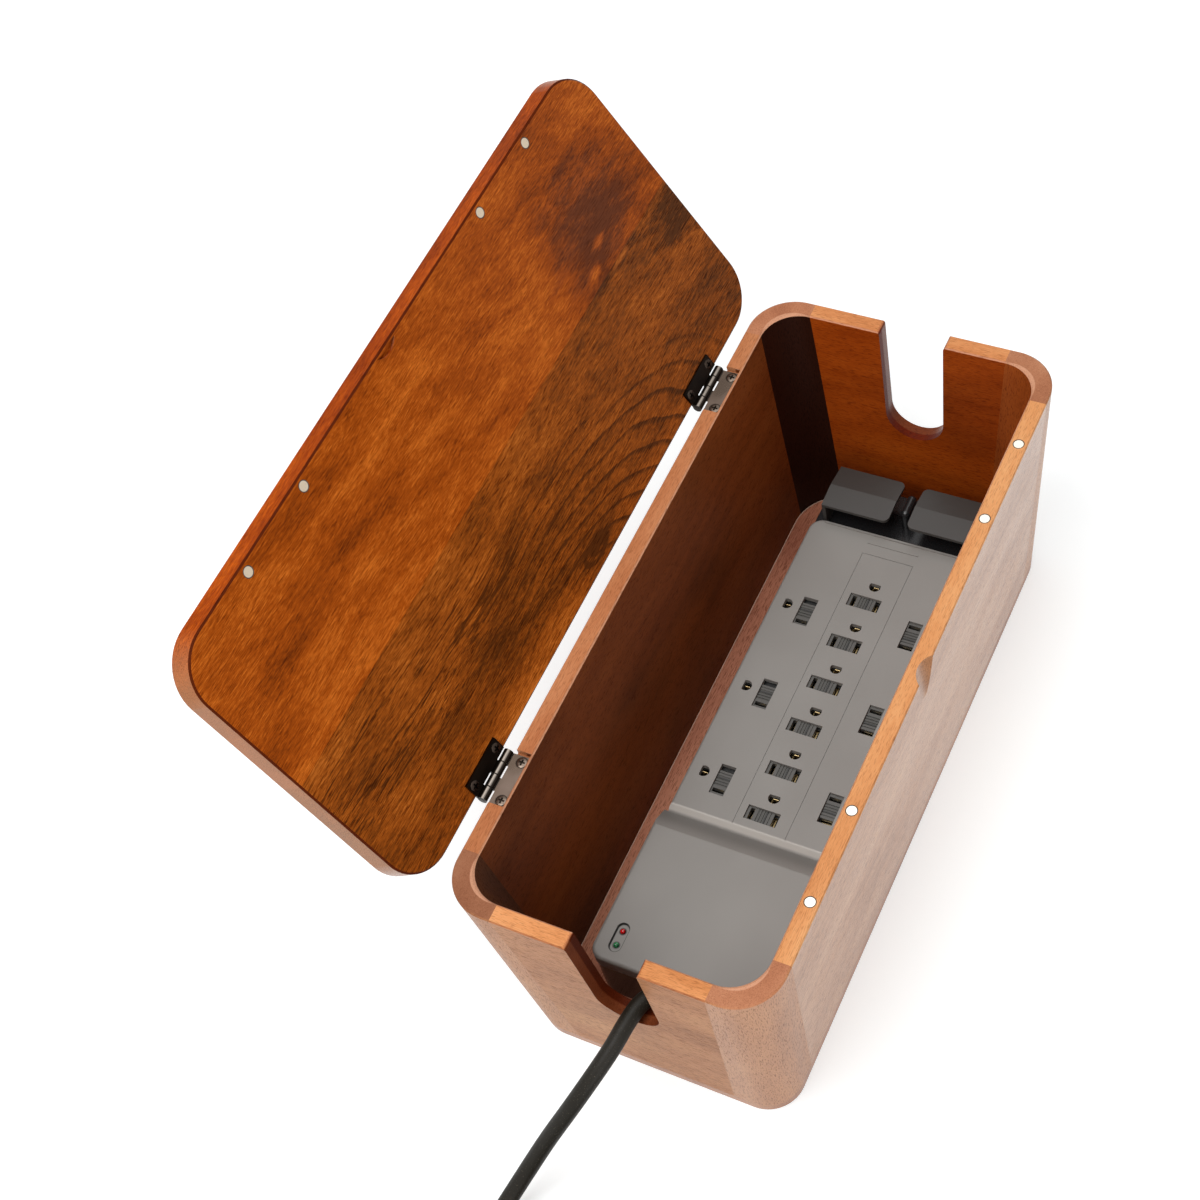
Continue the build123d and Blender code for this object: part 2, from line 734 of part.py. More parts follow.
def rail(y, level, near_x):
    """A flat strip along X at one of the three levels above the carrier."""
    z = carrier_top + level * rail_step
    return block((near_x, y - rail_width / 2, z), (first_ground_x + ground_to_window / 2,
                                                 y + rail_width / 2, z + rail_thickness))


def rib(y, level):
    """The carrier's rib under a raised rail."""
    return block((rail_near_x + rail_width, y - rib_width / 2, shell_floor),
                 (first_ground_x, y + rib_width / 2, carrier_top + level * rail_step))


def cross_rail(x, low_y, high_y, level):
    """The strip that joins the three columns of one contact."""
    z = carrier_top + level * rail_step
    return block((x, low_y - rail_width / 2, z), (x + rail_width, high_y + rail_width / 2,
                                                z + rail_thickness))


def clip(x, y, level, along_y):
    """A spring clip for one plug pin, standing on its rail."""
    half_x, half_y = clip_length / 2, clip_thickness / 2
    if along_y:
        half_x, half_y = half_y, half_x
    z = carrier_top + level * rail_step
    return block((x - half_x, y - half_y, z), (x + half_x, y + half_y, clip_top))


columns = {
    "centre": [o for o in outlets if o["turn"] == -90],
    "left": [o for o in outlets if o["turn"] == 0],
    "right": [o for o in outlets if o["turn"] == 180],
}
ground_ys = [strip_y, strip_y + side_column_offset, strip_y - side_column_offset]
centre_window_y = strip_y + centre_window_shift
left_window_y = strip_y + side_column_offset - ground_to_window
right_window_y = strip_y - side_column_offset + ground_to_window
neutral_ys = [centre_window_y + blade_offset, left_window_y - side_rail_offset,
              right_window_y + side_rail_offset]
live_ys = [centre_window_y - blade_offset, left_window_y + side_rail_offset,
           right_window_y - side_rail_offset]

contacts = {}
for name, level, ys in (("ground", ground_level, ground_ys), ("neutral", neutral_level, neutral_ys),
                        ("live", live_level, live_ys)):
    near_x = rail_near_x - level * rail_step
    contact = cross_rail(near_x, min(ys), max(ys), level)
    for y in ys:
        contact += rail(y, level, near_x)
        if level > 0:
            contact_carrier += rib(y, level)
    contacts[name] = contact

for outlet in outlets:
    ground_x, ground_y = outlet["ground"]
    foot = ground_clip_half + clip_thickness / 2
    contacts["ground"] += block((ground_x - clip_length / 2, ground_y - foot, carrier_top),
                                (ground_x + clip_length / 2, ground_y + foot, carrier_top + rail_thickness))
    for side in (-1, 1):
        contacts["ground"] += clip(ground_x, ground_y + side * ground_clip_half, ground_level, False)
for outlet in columns["centre"]:
    window_x = outlet["window"][0]
    contacts["neutral"] += clip(window_x, neutral_ys[0], neutral_level, False)
    contacts["live"] += clip(window_x, live_ys[0], live_level, False)
for side, key in ((1, "left"), (-1, "right")):
    for outlet in columns[key]:
        window_x, window_y = outlet["window"]
        for name, level, shift in (("neutral", neutral_level, -1), ("live", live_level, 1)):
            x = window_x + side * shift * blade_offset
            rail_y = window_y + side * shift * side_rail_offset
            z = carrier_top + level * rail_step
            contacts[name] += clip(x, window_y, level, True)
            low_y, high_y = sorted((window_y, rail_y))
            contacts[name] += block((x - clip_thickness / 2, low_y, z),
                                    (x + clip_thickness / 2, high_y, z + rail_thickness))

# ---- Surge circuit and lamps --------------------------------------------------------------------

board_low = shell_floor + board_standoff
board_top = board_low + board_thickness
board_half = board_width / 2
surge_board = block((board_near_x, strip_y - board_half, board_low),
                    (board_far_x, strip_y + board_half, board_top))
for x in (board_near_x + standoff_from_edge, board_far_x - standoff_from_edge):
    for side in (-1, 1):
        y = strip_y + side * (board_half - standoff_from_edge)
        shell += rod(x, y, shell_floor - over, board_low, standoff_radius)

varistors = []
board_middle_x = (board_near_x + board_far_x) / 2
for number in range(varistor_count):
    x = board_middle_x + (number - (varistor_count - 1) / 2) * varistor_pitch
    disc = Rot(0, 90, 0) * Cylinder(varistor_radius, varistor_thickness)
    varistors.append(Pos(x, strip_y - board_half + varistor_setback, board_top + varistor_radius) * disc)
cap_x, cap_y, cap_z = capacitor_size
cap_far_y = strip_y + board_half - capacitor_setback
capacitor = block((board_middle_x - cap_x / 2, cap_far_y - cap_y, board_top),
                  (board_middle_x + cap_x / 2, cap_far_y, board_top + cap_z))

lamp_middle_x = sum(lamp_xs) / len(lamp_xs)
recess_floor = label_top - lamp_recess_depth
lamp_recess = Pos(lamp_middle_x, lamp_y) * SlotOverall(lamp_recess_length, lamp_recess_width)
cover -= slab(lamp_recess, recess_floor, label_top + over)
lamps = []
for x in lamp_xs:
    dome_z = recess_floor + lamp_proud - lamp_radius
    flange_high = cover_under_label - lamp_flange_gap
    flange_low = flange_high - lamp_flange_thickness
    cover -= rod(x, lamp_y, cover_under_label - over, recess_floor + over, lamp_radius + lamp_hole_clearance)
    lamp = rod(x, lamp_y, flange_low, dome_z, lamp_radius)
    lamp += (Pos(x, lamp_y, dome_z) * Sphere(lamp_radius)) & block(
        (x - lamp_radius, lamp_y - lamp_radius, dome_z), (x + lamp_radius, lamp_y + lamp_radius, cut_high))
    lamp += rod(x, lamp_y, flange_low, flange_high, lamp_flange_radius)
    lamps.append(lamp)

# ---- Cord guide ---------------------------------------------------------------------------------

def guide_top(x):
    """Height of the guide's ridged top at x."""
    if x < guide_ridge_x:
        share = (x - guide_near_x) / (guide_ridge_x - guide_near_x)
        return floor_top + guide_near_height + share * (guide_ridge_height - guide_near_height)
    share = (x - guide_ridge_x) / (guide_far_x - guide_ridge_x)
    return floor_top + guide_ridge_height + share * (guide_far_height - guide_ridge_height)


def cord_guide(side):
    """One wing: a ridged plate carried by a wall at the strip's side, open towards the middle."""
    xs = (guide_near_x, guide_ridge_x, guide_far_x)
    tops = [(x, guide_top(x)) for x in xs]
    under = [(x, z - guide_thickness) for x, z in reversed(tops)]
    plate = across(tops + under, guide_half_width)
    plate &= block((guide_near_x, guide_gap_half, 0), (guide_far_x, guide_half_width, cut_high)
                   ).moved(Pos(0, strip_y, 0))
    lowest = min(z for x, z in under)
    inner = guide_half_width - guide_thickness
    wall_part = block((guide_near_x, strip_y + inner, seam_z),
                      (guide_far_x, strip_y + guide_half_width, lowest + guide_thickness))
    wing = plate + wall_part
    if side < 0:
        wing = wing.mirror(Plane.XZ.offset(-strip_y))
    inner_y = strip_y + side * guide_gap_half
    corners_near_gap = [e for e in wing.edges() if abs(e.center().Y - inner_y) < 0.01
                        and abs(e.tangent_at(0.5).Z) > 0.99]
    return fillet(corners_near_gap, guide_corner_radius)


cord_guide_left = cord_guide(1)
cord_guide_right = cord_guide(-1)

post_mid_x = (guide_near_x + guide_far_x) / 2 + post_past_middle
post_top = floor_top + post_height
post = block((post_mid_x - post_length / 2, strip_y - post_half_width, seam_z),
             (post_mid_x + post_length / 2, strip_y + post_half_width, post_top))
post = fillet([e for e in post.edges() if e.center().Z > seam_z + over], post_edge_radius)

# ---- Housing screws -----------------------------------------------------------------------------

housing_screws = []
screw_hole = housing_screw_radius + housing_screw_clearance
for x in housing_screw_xs:
    under_top = cover_under_label if x < groove_x else cover_under_deck
    tip_z = under_top + cover_thickness / 2
    seat_z = floor_top + housing_screw_recess
    for side in (-1, 1):
        y = strip_y + side * housing_screw_offset
        shell += rod(x, y, floor_top, seam_z, screw_hole + post_wall)
        shell -= rod(x, y, floor_top - over, seam_z + over, screw_hole)
        shell -= rod(x, y, floor_top - over, seat_z, housing_screw_head_radius + housing_screw_clearance)
        cover += rod(x, y, seam_z, under_top + over, screw_hole + post_wall)
        cover -= rod(x, y, seam_z - over, tip_z, screw_hole)
        screw = rod(x, y, seat_z, tip_z, housing_screw_radius)
        screw += rod(x, y, seat_z - housing_screw_head_height, seat_z, housing_screw_head_radius)
        screw -= Pos(x, y, seat_z - housing_screw_head_height) * cross_recess()
        housing_screws.append(screw)

# ---- Mains cord ---------------------------------------------------------------------------------

shell_near_x = strip_near_x + shell_setback
exit_z = floor_top + cord_exit_height
relief_ball = Vector(shell_near_x - relief_out, cord_exit_y, exit_z)
relief_way = Vector(0, cos(radians(relief_rise)), sin(radians(relief_rise)))
cord_start = relief_ball + relief_way * relief_length

relief = Pos(shell_near_x - relief_out / 2, cord_exit_y, exit_z) * Rot(0, 90, 0) * Cylinder(
    relief_root_radius, relief_out)
relief += Pos(shell_near_x - relief_collar_length / 2, cord_exit_y, exit_z) * Rot(0, 90, 0) * Cylinder(
    relief_collar_radius, relief_collar_length)
relief += Pos(*relief_ball) * Sphere(relief_root_radius)
relief_cone = Cone(relief_root_radius, relief_tip_radius, relief_length)
relief += Plane(origin=relief_ball + relief_way * (relief_length / 2), z_dir=relief_way) * relief_cone


def tube(points, radius):
    """A cord's solid: straight runs joined by tangent arcs as large as the runs allow."""
    points = [Vector(*p) for p in points]
    radii = []
    for before, here, after in zip(points, points[1:], points[2:]):
        turn = radians((here - before).get_angle(after - here))
        shorter = min((here - before).length, (after - here).length)
        radii.append(0.45 * shorter / tan(turn / 2))
    print("arc radii", [round(r, 1) for r in radii])
    path = FilletPolyline(*points, radius=radii)
    section = Plane(origin=path @ 0, z_dir=path % 0) * Circle(radius)
    solid = sweep(section, path=path)
    print("tube length", round(path.length, 1), "volume ratio",
          round(solid.volume / (pi * radius ** 2 * path.length), 4))
    return solid


entry_radius = coil_mean_radius + (coil_bottom_turns - 1) * cord_radius
coil_entry = (coil_centre[0] + entry_radius * cos(radians(coil_entry_angle)),
              coil_centre[1] + entry_radius * sin(radians(coil_entry_angle)),
              cord_radius + coil_floor_gap)
power_cord = tube([tuple(cord_start)] + cord_route + [coil_entry], cord_radius)

# The coil's solid is the outer shape of its bundle: four turns below, three in their valleys.
bottom_half = coil_bottom_turns * cord_radius
top_half = coil_top_turns * cord_radius
turn_rise = 2 * cord_radius * sin(radians(60))
bundle_top = 2 * cord_radius + turn_rise + coil_floor_gap
shoulder_z = 2 * cord_radius + coil_floor_gap
bundle = Polygon((coil_mean_radius - bottom_half, coil_floor_gap),
                 (coil_mean_radius + bottom_half, coil_floor_gap),
                 (coil_mean_radius + bottom_half, shoulder_z),
                 (coil_mean_radius + top_half, bundle_top),
                 (coil_mean_radius - top_half, bundle_top),
                 (coil_mean_radius - bottom_half, shoulder_z), align=None)
cord_coil = Pos(*coil_centre, 0) * revolve(Plane.XZ * bundle, Axis.Z)
turn_radii = [coil_mean_radius + (2 * n - coil_bottom_turns + 1) * cord_radius
              for n in range(coil_bottom_turns)]
turn_radii += [coil_mean_radius + (2 * n - coil_top_turns + 1) * cord_radius
               for n in range(coil_top_turns)]
last_turn = (tail_start_angle - coil_entry_angle) / 360
print("cord in the coil", round(2 * pi * (sum(turn_radii[:-1]) + last_turn * turn_radii[-1])))

tail_radius = coil_mean_radius + (coil_top_turns - 1) * cord_radius
tail_start = (coil_centre[0] + tail_radius * cos(radians(tail_start_angle)),
              coil_centre[1] + tail_radius * sin(radians(tail_start_angle)),
              coil_floor_gap + cord_radius + turn_rise)
cord_tail = tube([tail_start] + tail_route, cord_radius)

# Plug: built along +X from the end of the cord, then laid in the cord's direction.
plug_way = Vector(tail_route[-1][0] - tail_route[-2][0], tail_route[-1][1] - tail_route[-2][1], 0)
boot = Pos(plug_boot_length / 2, 0, 0) * Rot(0, 90, 0) * Cone(
    relief_tip_radius, plug_boot_radius, plug_boot_length)
plug_body = Pos(plug_boot_length + plug_body_length / 2, 0, 0) * Box(
    plug_body_length, plug_body_width, plug_body_height)
plug_body = fillet(plug_body.edges().filter_by(Axis.X), plug_edge_radius)
plug_body = fillet(plug_body.faces().sort_by(Axis.X)[0].edges(), plug_back_edge_radius)
plug_body += boot
plug_face = plug_boot_length + plug_body_length
root_x = plug_face - plug_blade_root
plug_blades = []
for side in (-1, 1):
    y = side * plug_blade_half_spacing
    low = (root_x, y - plug_blade_thickness / 2, plug_blades_rise - plug_blade_width / 2)
    high = (plug_face + plug_blade_length, y + plug_blade_thickness / 2,
            plug_blades_rise + plug_blade_width / 2)
    plug_blades.append(block(low, high))
ground_length = plug_ground_length + plug_blade_root
ground_pin = Rot(0, 90, 0) * Cylinder(plug_ground_radius, ground_length)
plug_blades.append(Pos(root_x + ground_length / 2, 0, plug_blades_rise - plug_ground_drop) * ground_pin)
for pin in plug_blades:
    plug_body -= pin
plug_place = Plane(origin=(tail_route[-1][0], tail_route[-1][1], plug_body_height / 2 + coil_floor_gap),
                   x_dir=plug_way, z_dir=(0, 0, 1))

# ---- Write the sub-parts ------------------------------------------------------------------------

save(base_board, "base_board")
save(floor_panel, "floor_panel")
save(front_panel, "front_panel")
save(back_panel, "back_panel")
save(cord_end_panel, "cord_end_panel")
save(far_end_panel, "far_end_panel")
for x_sign, x_name in ((-1, "near"), (1, "far")):
    for y_sign, y_name in ((-1, "front"), (1, "back")):
        save(side_of(corners, x_sign, y_sign), f"corner_block_{y_name}_{x_name}")
save(Compound(children=box_magnets), "box_magnets")

save(swung(lid_board), "lid_board")
save(swung(Compound(children=lid_magnets)), "lid_magnets")
save(swung(Compound(children=lid_hinge_screws)), "lid_hinge_screws")
save(Compound(children=box_hinge_screws), "box_hinge_screws")
for name in hinge_names:
    save(box_leaves[name], f"hinge_box_leaf_{name}")
    save(swung(lid_leaves[name]), f"hinge_lid_leaf_{name}")
    save(hinge_pins[name], f"hinge_pin_{name}")

save(shell, "strip_lower_shell")
save(cover, "strip_top_cover")
save(shutter_tray, "shutter_tray")
for number, shutter in enumerate(shutters, start=1):
    save(shutter, f"outlet_shutter_{number:02d}")
save(contact_carrier, "contact_carrier")
for name, contact in contacts.items():
    save(contact, f"{name}_contacts")
save(surge_board, "surge_board")
save(Compound(children=varistors), "varistors")
save(capacitor, "noise_capacitor")
save(lamps[0], "red_lamp")
save(lamps[1], "green_lamp")
save(cord_guide_left, "cord_guide_left")
save(cord_guide_right, "cord_guide_right")
save(post, "cord_guide_post")
save(Compound(children=housing_screws), "housing_screws")

save(relief, "cord_strain_relief")
save(power_cord, "power_cord")
save(cord_coil, "cord_coil")
save(cord_tail, "cord_tail")
save(plug_place * plug_body, "plug_body")
save(Compound(children=[plug_place * pin for pin in plug_blades]), "plug_blades")
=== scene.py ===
from math import cos, pi, radians, sin

import bpy
from mathutils import Matrix, Vector


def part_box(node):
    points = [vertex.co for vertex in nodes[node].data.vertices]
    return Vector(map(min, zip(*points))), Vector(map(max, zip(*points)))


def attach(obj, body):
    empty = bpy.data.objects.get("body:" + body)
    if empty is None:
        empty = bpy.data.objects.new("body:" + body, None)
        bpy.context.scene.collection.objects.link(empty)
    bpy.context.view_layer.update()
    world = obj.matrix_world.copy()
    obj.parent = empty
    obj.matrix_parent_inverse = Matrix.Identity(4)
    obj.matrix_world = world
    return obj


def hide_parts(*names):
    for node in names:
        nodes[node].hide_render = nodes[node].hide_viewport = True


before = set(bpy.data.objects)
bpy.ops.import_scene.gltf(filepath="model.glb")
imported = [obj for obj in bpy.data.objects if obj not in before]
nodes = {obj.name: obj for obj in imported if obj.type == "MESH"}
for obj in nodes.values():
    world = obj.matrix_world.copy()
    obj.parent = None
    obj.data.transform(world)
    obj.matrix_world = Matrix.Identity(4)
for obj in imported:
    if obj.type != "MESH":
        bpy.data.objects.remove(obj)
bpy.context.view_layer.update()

# ---- The room: a white floor and white surroundings, a large soft lamp high over the near
# end, weaker ones overhead and low on the near front side, and the camera. None of it is
# part of the object.


class Wire:
    """A socket of the material being made, so that its sums are written as sums."""

    tree = None

    def __init__(self, socket):
        self.socket = socket

    @classmethod
    def node(cls, kind, settings=None, sockets=None, out=0):
        made = cls.tree.nodes.new(kind)
        for key, value in (settings or {}).items():
            if key == "stops":
                dots = made.color_ramp.elements
                while len(dots) < len(value):
                    dots.new(0.5)
                for dot, (place, colour) in zip(dots, value):
                    dot.position, dot.color = place, (*colour, 1)
            else:
                setattr(made, key, value)
        for key, value in (sockets or {}).items():
            if isinstance(value, Wire):
                cls.tree.links.new(value.socket, made.inputs[key])
            else:
                made.inputs[key].default_value = value
        return cls(made.outputs[out]) if made.outputs else made

    @classmethod
    def sum(cls, operation, first, second=0.0, clamp=False):
        return cls.node("ShaderNodeMath", {"operation": operation, "use_clamp": clamp},
                        {0: first, 1: second})

    def __add__(self, other):
        return Wire.sum("ADD", self, other)

    def __sub__(self, other):
        return Wire.sum("SUBTRACT", self, other)

    def __rsub__(self, other):
        return Wire.sum("SUBTRACT", other, self)

    def __mul__(self, other):
        return Wire.sum("MULTIPLY", self, other)

    __radd__ = __add__
    __rmul__ = __mul__


room = bpy.data.worlds.new("white_room")
bpy.context.scene.world = room
room.use_nodes = True
Wire.tree = room.node_tree
Wire.tree.nodes.clear()
room_light = 0.38
white = (1, 1, 1, 1)


def seen_white():
    """1 for the rays of the camera, of gloss and of clear things, and 0 for the lighting."""
    seen = [Wire.node("ShaderNodeLightPath", out=ray)
            for ray in ("Is Camera Ray", "Is Glossy Ray", "Is Transmission Ray")]
    return Wire.sum("ADD", seen[0] + seen[1], seen[2], clamp=True)


background = Wire.node("ShaderNodeBackground", None, {
    "Color": white, "Strength": seen_white() * (1 - room_light) + room_light})
Wire.node("ShaderNodeOutputWorld", None, {"Surface": background})


def start(name):
    """Opens a new material, which the wires that follow belong to."""
    made = bpy.data.materials.new(name)
    made.use_nodes = True
    made.node_tree.nodes.clear()
    Wire.tree = made.node_tree
    return made


def face(shader):
    Wire.node("ShaderNodeOutputMaterial", None, {"Surface": shader})


def place_on_piece():
    return Wire.node("ShaderNodeTexCoord", out=3)


def between(value, low, high, to=(0, 1)):
    return Wire.node("ShaderNodeMapRange", {"interpolation_type": "SMOOTHSTEP"}, {
        "Value": value, "From Min": low, "From Max": high, "To Min": to[0], "To Max": to[1]})


floor_white = start("floor_white")
floor_glow, glow_from, glow_to = 0.49, 0.9, 2.6
floor_width, floor_drop = 12, 0.0003
from_centre = Wire.node("ShaderNodeVectorMath", {"operation": "LENGTH"},
                        {0: place_on_piece()}, out=1)
face(Wire.node("ShaderNodeAddShader", None, {
    0: Wire.node("ShaderNodeBsdfDiffuse", None, {"Color": (0.75, 0.79, 0.8, 1)}),
    1: Wire.node("ShaderNodeEmission", None, {
        "Color": white,
        "Strength": seen_white() * between(from_centre, glow_from, glow_to, (floor_glow, 1))})}))
bpy.ops.object.select_all(action="DESELECT")
bpy.ops.mesh.primitive_plane_add(size=floor_width, location=(0, 0, -floor_drop))
floor = bpy.context.object
floor.name = "floor"
floor.data.materials.append(floor_white)

lit_point = (0, 0, 0.1)
for name, place, width, watts in (
        ("near_end_lamp", (-0.95, 0.4, 2.35), 1.5, 32),
        ("overhead_lamp", (0.6, 0.2, 2.5), 1.6, 12),
        ("low_front_lamp", (-1.9, -1.7, 0.95), 1.6, 17)):
    lamp = bpy.data.lights.new(name, "AREA")
    lamp.size, lamp.energy = width, watts
    lamp_body = bpy.data.objects.new(name, lamp)
    lamp_body.location = place
    lamp_body.rotation_euler = (Vector(lit_point) - Vector(place)).to_track_quat(
        "-Z", "Y").to_euler()
    bpy.context.collection.objects.link(lamp_body)

picture_width, focal_length = 1200, 2174.41
sensor_width = 36
camera_place = (-0.51733, -0.33797, 1.05308)
heading, downward, tilt = radians(40.261), radians(53.885), radians(-17.665)
look = Vector((cos(heading) * cos(downward), sin(heading) * cos(downward), -sin(downward)))
level = Vector((sin(heading), -cos(heading), 0))
rise = level.cross(look)
right = cos(tilt) * level + sin(tilt) * rise
up = cos(tilt) * rise - sin(tilt) * level
camera_lens = bpy.data.cameras.new("camera")
camera_lens.sensor_width = sensor_width
camera_lens.lens = focal_length / picture_width * sensor_width
camera = bpy.data.objects.new("camera", camera_lens)
camera.matrix_world = Matrix.Translation(camera_place) @ Matrix(
    (right, up, -look)).transposed().to_4x4()
bpy.context.collection.objects.link(camera)
bpy.context.scene.camera = camera
bpy.context.scene.view_settings.view_transform = "Standard"

# ---- The mains cord: an 8-foot, 9.2 mm round jacketed lead. It leaves the strip's cord end
# through the tapered relief, climbs out of the near cord slot, lies on the floor, is wound
# into a neat coil four turns wide and ends in its moulded grounded plug.

cord_radius = 0.0046
cord_exit = (-0.1712, -0.02709, 0.0533)
cord_points = [
    cord_exit,
    (-0.171, -0.0189, 0.0661), (-0.1745, -0.0105, 0.078), (-0.184, -0.005, 0.0845),
    (-0.197, -0.0025, 0.0845), (-0.211, -0.0005, 0.081), (-0.226, 0.0045, 0.074),
    (-0.2415, 0.013, 0.0595), (-0.254, 0.023, 0.041), (-0.2685, 0.0315, 0.024),
    (-0.286, 0.0385, 0.0115), (-0.3055, 0.043, 0.0055), (-0.3275, 0.045, 0.0047)]
coil_centre = (-0.348, -0.023)
coil_entry_angle = 90
coil_leave_angle = 250
bottom_turns = [0.0678, 0.0586, 0.0494, 0.0402]
top_turns = [0.0448, 0.0540, 0.0632]
bottom_height, top_height, crossing_height = 0.0047, 0.01267, 0.0143
points_per_turn = 24
last_angle = 360 * (len(bottom_turns) + len(top_turns) - 1) + coil_leave_angle - coil_entry_angle
step_angle = 360 / points_per_turn
step_over_from, climb_from = 290, 215
crossing_from, crossing_past, crossing_slope = 265, 5, 30
last_turn_down = 60


def eased(share):
    share = min(max(share, 0), 1)
    return share * share * (3 - 2 * share)


turns = bottom_turns + top_turns
step = 0
while step * step_angle <= last_angle:
    wound = step * step_angle
    turn, into = int(wound // 360), wound % 360
    over = eased((into - step_over_from) / (360 - step_over_from))
    following = turns[min(turn + 1, len(turns) - 1)]
    radius = turns[turn] + (following - turns[turn]) * over
    if turn < len(bottom_turns) - 1:
        height = bottom_height
    elif turn == len(bottom_turns) - 1:
        lift = eased((into - climb_from) / (step_over_from - climb_from))
        height = bottom_height + (crossing_height - bottom_height) * lift
    else:
        high = max(eased((into - crossing_from) / crossing_slope),
                   1 - eased((into - crossing_past) / crossing_slope))
        if turn == len(turns) - 1 and into > last_turn_down:
            high = 0
        height = top_height + (crossing_height - top_height) * high
    round_to = radians(coil_entry_angle + wound)
    widened = radius / cos(pi / points_per_turn)
    cord_points.append((coil_centre[0] + widened * cos(round_to),
                        coil_centre[1] + widened * sin(round_to), height))
    step += 1
cord_points += [(-0.3529, -0.0885, 0.0154), (-0.3361, -0.0953, 0.0126), (-0.3216, -0.1007, 0.0126)]

line = bpy.data.curves.new("mains_cord", "CURVE")
line.dimensions = "3D"
line.resolution_u = 6
line.bevel_depth = cord_radius
line.bevel_resolution = 5
line.use_fill_caps = True
run = line.splines.new("NURBS")
run.points.add(len(cord_points) - 1)
for point, place in zip(run.points, cord_points):
    point.co = (*place, 1)
run.order_u = 3
run.use_endpoint_u = True
mains_cord = bpy.data.objects.new("mains_cord", line)
bpy.context.collection.objects.link(mains_cord)


def stretched(place, by):
    return Wire.node("ShaderNodeVectorMath", {"operation": "MULTIPLY"}, {0: place, 1: by})


def cloud(place, by, detail=2.0, rough=0.5, out=0):
    """Soft noise whose grains are 1/by metres long each way."""
    return Wire.node("ShaderNodeTexNoise", None, {
        "Vector": stretched(place, by), "Scale": 1, "Detail": detail, "Roughness": rough}, out)


def blended(share, under, over, way="MIX"):
    return Wire.node("ShaderNodeMix", {"data_type": "RGBA", "blend_type": way},
                     {0: share, 6: under, 7: over}, out=2)


def finished(sockets, relief=None, depth=0.0001, strength=0.5):
    """The surface itself, with its fine relief in metres where it has one."""
    if relief is not None:
        sockets["Normal"] = Wire.node("ShaderNodeBump", None, {
            "Strength": strength, "Distance": depth, "Height": relief})
    face(Wire.node("ShaderNodeBsdfPrincipled", None, sockets))


def dress(material, *names):
    for name in names:
        for slot in nodes[name].material_slots:
            slot.material = material


cord_black = start("cord_jacket")
place = place_on_piece()
drawn = cloud(place, (160, 160, 160), 3, 0.6)
scuff = between(cloud(place, (1400, 1400, 1400), 2, 0.6), 0.62, 0.72)
finished({"Base Color": blended(scuff * 0.5, (0.012, 0.0095, 0.006, 1), (0.11, 0.095, 0.07, 1)),
          "Roughness": drawn * 0.25 + 0.36 + scuff * 0.2, "Specular IOR Level": 0.22},
         drawn * 0.6 + scuff * 0.4, 0.0004, 0.4)
line.materials.append(cord_black)
dress(cord_black, "cord_strain_relief")

plug_black = start("plug_body_black")
place = place_on_piece()
mould = cloud(place, (2600, 2600, 2600), 2, 0.6)
finished({"Base Color": blended(mould * 0.5, (0.014, 0.012, 0.01, 1), (0.026, 0.023, 0.019, 1)),
          "Roughness": mould * 0.25 + 0.33}, mould, 0.00006, 0.4)
dress(plug_black, "plug_body")

blade_metal = start("plug_blade_nickel")
place = place_on_piece()
rub = cloud(place, (300, 2400, 1200), 3, 0.6)
finished({"Base Color": blended(rub, (0.66, 0.6, 0.45, 1), (0.8, 0.76, 0.64, 1)),
          "Metallic": 1.0, "Roughness": rub * 0.2 + 0.2}, rub, 0.00002, 0.3)
dress(blade_metal, "plug_blades")

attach(mains_cord, "box")
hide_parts("power_cord", "cord_coil", "cord_tail")

# ---- The base board and the loose floor panel: stained hardwood boards, the base set a
# little back under the walls and glued to them, the floor panel dropped in on top with its
# upper edges eased, and a highlight painted along them.


def wood_place(turn=(0, 0, 0), shift=(0, 0, 0)):
    """Object coordinates with X turned to lie along the piece's grain."""
    return Wire.node("ShaderNodeMapping", None, {
        "Vector": place_on_piece(), "Location": shift, "Rotation": turn})


def figure(place, rings=9.0, wander=0.016, dash=(260, 2300, 2300)):
    """The wood's parts, each from 0 to 1: place bent by the figure, then its shades."""
    bend = Wire.node("ShaderNodeVectorMath", {"operation": "MULTIPLY_ADD"}, {
        0: cloud(place, (6, 26, 26), 2, 0.5, out=1), 1: (0, wander, wander),
        2: place})
    broad = cloud(bend, (9, 36, 36), 4, 0.6)
    ring = Wire.sum("SINE", cloud(bend, (2.6, 17, 17), 1, 0.4) * (2 * pi * rings)) * 0.5 + 0.5
    fibre = cloud(bend, (60, 1900, 1900), 3, 0.7)
    wool = cloud(place, (300, 1100, 1100), 3, 0.65)
    pore = between(cloud(place, dash, 1, 0.5), 0.56, 0.64)
    return bend, broad, ring, fibre, wool, pore


def tone(broad, ring, fibre, wool, weights=(0.9, 0.12, 0.55, 0.35)):
    return ((broad - 0.5) * weights[0] + (ring - 0.5) * weights[1]
            + (fibre - 0.5) * weights[2] + (wool - 0.5) * weights[3] + 0.5)


def shades(value, dark, middle, light):
    return Wire.node("ShaderNodeValToRGB", {"stops": [(0.2, dark), (0.5, middle), (0.8, light)]},
                     {"Fac": value})


def lacquered(colour, pore, fibre, pore_depth=0.55, gloss=0.5, sheen=0.12):
    """A satin lacquer: nearly clear face on, and shinier the flatter it is seen."""
    slant = between(Wire.node("ShaderNodeLayerWeight", None, {"Blend": 0.5}, 1), 0.45, 0.74)
    finished({"Base Color": blended(pore * pore_depth, colour, (0.3, 0.2, 0.14, 1), "MULTIPLY"),
              "Roughness": pore * 0.12 + fibre * 0.16 + 0.34, "Specular IOR Level": sheen,
              "Coat Weight": slant * gloss, "Coat Roughness": 0.26, "Coat IOR": 1.5},
             fibre * 0.3 - pore, 0.00009, 0.3)


